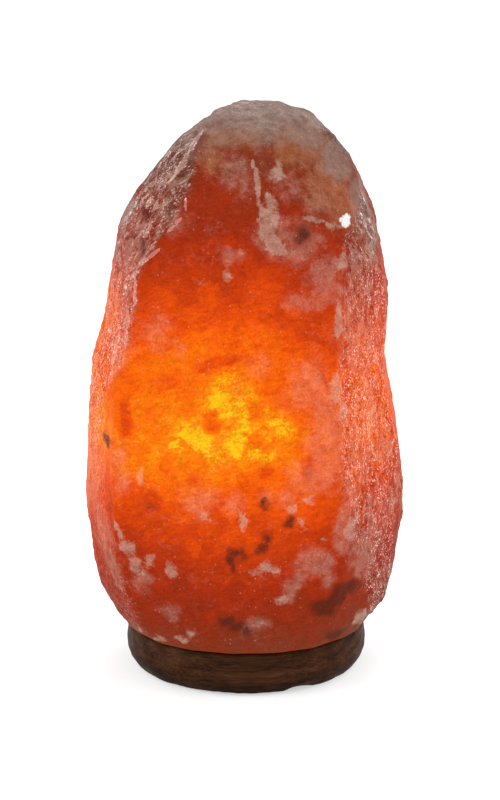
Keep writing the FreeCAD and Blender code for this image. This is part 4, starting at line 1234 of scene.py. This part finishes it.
# ---------------------------------------------------------------- the base
@dataclass
class WoodBase:
    """The turned base, with the small unevenness of a hand-finished edge."""

    face: float = 1.1
    softening: int = 1

    def build(self, node: bpy.types.Object) -> bpy.types.Object:
        """Makes the base's skin over the frame's solid.

        Args:
            node: the frame's turned disc.

        Returns:
            The dressed piece.
        """
        skin = remeshed(node, "base_turning", self.face * MM, self.softening)
        points = coordinates(skin.data) / MM
        low, high = (np.array(corner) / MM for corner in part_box(node.name))
        out = np.hypot(points[:, 0], points[:, 1])
        rim = smooth_step(out, 40.0, 52.0)
        grain = lumps(points * (0.07, 0.3, 1.0), 1.6)
        push = (layered_lumps(points, 9.0) * 0.22 + grain * 0.10) * rim
        moved = points + outward(skin.data) * push[:, None]
        place_vertices(skin, np.clip(moved, low, high) * MM)
        dress(skin, WoodFinish().material())
        return skin


# ---------------------------------------------------------------- the bulb's coil
@dataclass
class FilamentCoil:
    """The coiled tungsten thread, which hangs from its two wires over the hook of its support."""

    turns: int = 64
    steps: int = 10
    coil_radius: float = 0.40
    wire_radius: float = 0.10
    sides: int = 6

    def build(self, node: bpy.types.Object) -> bpy.types.Object:
        """Makes the coil in the place of the frame's slim rod.

        Args:
            node: the frame's rod.

        Returns:
            The dressed coil.
        """
        low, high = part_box(node.name)
        end, rise = (high.x - low.x) / 2.0, high.z - low.z - 2.0 * (self.coil_radius + self.wire_radius) * MM
        foot = low.z + (self.coil_radius + self.wire_radius) * MM
        count = self.turns * self.steps
        shape = bpy.data.curves.new("filament_coil", "CURVE")
        shape.dimensions = "3D"
        shape.bevel_depth = self.wire_radius * MM
        shape.bevel_resolution = self.sides // 4
        spline = shape.splines.new("POLY")
        spline.points.add(count)
        for index, point in enumerate(spline.points):
            share = 2.0 * index / count - 1.0
            turn = 2.0 * math.pi * index / self.steps
            centre = Vector((share * (end - self.wire_radius * MM), 0.0, foot + rise * (1.0 - abs(share))))
            ring = Vector((0.0, math.cos(turn), math.sin(turn))) * self.coil_radius * MM
            point.co = (*(centre + ring), 1.0)
        draft = added("filament_draft", shape)
        mesh = bpy.data.meshes.new_from_object(draft.evaluated_get(bpy.context.evaluated_depsgraph_get()))
        bpy.data.objects.remove(draft)
        coil = added("filament_coil", mesh)
        dress(coil, HotWireFinish().material())
        return coil


# ---------------------------------------------------------------- the fittings
@dataclass
class Fittings:
    """The pieces that keep the frame's own shape, each with its finish."""

    white: MouldedFinish = MouldedFinish("holder_plastic", (0.80, 0.78, 0.72), 0.32, 0.03)
    core: MouldedFinish = MouldedFinish("core_plastic", (0.66, 0.62, 0.54), 0.55, 0.06)
    nylon: MouldedFinish = MouldedFinish("plug_nylon", (0.72, 0.71, 0.66), 0.5, 0.05)
    rubber: MouldedFinish = MouldedFinish("foot_rubber", (0.022, 0.021, 0.020), 0.72, 0.10, 0.16)
    black: MouldedFinish = MouldedFinish("black_glass", (0.012, 0.012, 0.014), 0.12, 0.01, 0.04)
    steel: MetalFinish = MetalFinish("screw_steel", (0.60, 0.60, 0.58), 0.30)
    spring: MetalFinish = MetalFinish("spring_steel", (0.52, 0.53, 0.55), 0.24)
    brass: MetalFinish = MetalFinish("bare_brass", (0.76, 0.55, 0.22), 0.27, (0.26, 0.15, 0.06))
    plate: MetalFinish = MetalFinish("nickel_plate", (0.66, 0.63, 0.56), 0.22)
    solder: MetalFinish = MetalFinish("solder", (0.55, 0.55, 0.57), 0.42)
    wire: MetalFinish = MetalFinish("drawn_wire", (0.50, 0.49, 0.48), 0.35)
    glass: GlassFinish = GlassFinish()

    def build(self, nodes: Mapping[str, bpy.types.Object]) -> None:
        """Dresses every small piece of the frame, by the name of its node.

        Args:
            nodes: the frame's pieces by the names of their nodes.
        """
        worn_by = {
            self.white: ("holder_skirt", "holder_cap", "cord_gland"),
            self.core: ("holder_insert",),
            self.nylon: ("wall_plugs",),
            self.rubber: tuple(name for name in nodes if name.startswith("rubber_foot")),
            self.black: ("cap_insulator",),
            self.steel: ("base_screws", "gland_lock_screw", "terminal_screws", "clip_rivets"),
            self.spring: ("clip_band", "clip_wing_left", "clip_wing_right"),
            self.brass: ("terminal_blocks", "thread_shell", "centre_contact"),
            self.plate: ("bulb_cap",),
            self.solder: ("tip_contact",),
            self.wire: ("lead_wires", "filament_support"),
            self.glass: ("bulb_glass", "bulb_stem"),
        }
        for finish, names in worn_by.items():
            material = finish.material()
            for name in names:
                dress(nodes[name], material)


# ---------------------------------------------------------------- the studio
@dataclass
class SoftBox:
    """A large soft lamp of the studio, aimed at the middle of the object."""

    name: str
    place: Point
    size: float
    power: float

    def build(self, aim: Vector) -> None:
        """Hangs the lamp and turns it to that point.

        Args:
            aim: where it points, in metres.
        """
        light = bpy.data.lights.new(self.name, "AREA")
        light.shape = "DISK"
        light.size = self.size
        light.energy = self.power
        lamp = added(self.name, light)
        lamp.location = self.place
        lamp.rotation_euler = (aim - lamp.location).to_track_quat("-Z", "Y").to_euler()
        lamp.visible_camera = False


@dataclass
class Studio:
    """The floor, the soft light and the camera."""

    aim: Point = (0.002, 0.0, 0.134)
    distance: float = 1.2
    pitch: float = 14.3
    lens: float = 109.0
    floor_size: float = 400.0
    sky_top: float = 1.35
    sky_side: float = 0.42
    sky_even_above: float = 0.9
    sky_colour: Colour = (1.0, 1.0, 1.0)
    sensor: float = 36.0
    view_depth: float = 100.0
    boxes: tuple[SoftBox, ...] = (
        SoftBox("box_left", (-1.15, -0.35, 0.75), 0.7, 7.0),
        SoftBox("box_right", (1.2, -0.25, 0.85), 0.7, 6.0),
        SoftBox("box_above", (0.1, 0.5, 1.5), 0.9, 8.0),
        SoftBox("box_behind_left", (-0.85, 1.0, 0.5), 0.4, 4.0),
        SoftBox("box_behind_right", (0.85, 1.0, 0.5), 0.4, 5.0),
    )

    def build(self) -> None:
        """Sets the floor, the sky, the soft boxes and the camera."""
        self._floor()
        self._sky()
        for box in self.boxes:
            box.build(Vector(self.aim))
        self._camera()
        bpy.context.scene.view_settings.view_transform = "Standard"

    def _floor(self) -> None:
        """A wide plain floor at the height of the feet."""
        half = self.floor_size / 2.0
        mesh = bpy.data.meshes.new("studio_floor")
        corners = [(-half, -half, 0.0), (half, -half, 0.0), (half, half, 0.0), (-half, half, 0.0)]
        mesh.from_pydata(corners, [], [(0, 1, 2, 3)])
        floor = added("studio_floor", mesh)
        dress(floor, FloorFinish().material())

    def _sky(self) -> None:
        """An even pale light from all round, brighter overhead."""
        world = bpy.data.worlds.new("studio_sky")
        bpy.context.scene.world = world
        bench = Bench(world, "Background", "Generated")
        rise = bench.part(bench.place, "Z").step(0.0, self.sky_even_above, self.sky_side, self.sky_top)
        bench.finish(color=self.sky_colour, strength=rise)

    def _camera(self) -> None:
        """The camera, a little above the lamp and looking down at its middle."""
        pitch = math.radians(self.pitch)
        back = Vector((0.0, -math.cos(pitch), math.sin(pitch)))
        data = bpy.data.cameras.new("camera")
        data.lens = self.lens
        data.sensor_width = self.sensor
        data.clip_end = self.view_depth
        camera = added("camera", data)
        camera.location = Vector(self.aim) + back * self.distance
        camera.rotation_euler = (-back).to_track_quat("-Z", "Y").to_euler()
        bpy.context.scene.camera = camera


def main() -> None:
    """Builds the lamp round its frame, piece by piece, and the studio round the lamp."""
    logging.basicConfig(level=logging.INFO, format="%(message)s")
    noise.seed_set(NOISE_SEED)
    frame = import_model()
    nodes = frame["nodes"]
    Fittings().build(nodes)
    builders = (
        ("salt_crystal", SaltCrystal(), "lamp", "salt"),
        ("wood_base", WoodBase(), "lamp", "wood"),
        ("filament", FilamentCoil(), "bulb", "tungsten"),
    )
    for node_name, maker, body, finish_slot in builders:
        piece = maker.build(nodes[node_name])
        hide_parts(node_name)
        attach(piece, body)
    Studio().build()


if __name__ == "__main__":
    main()
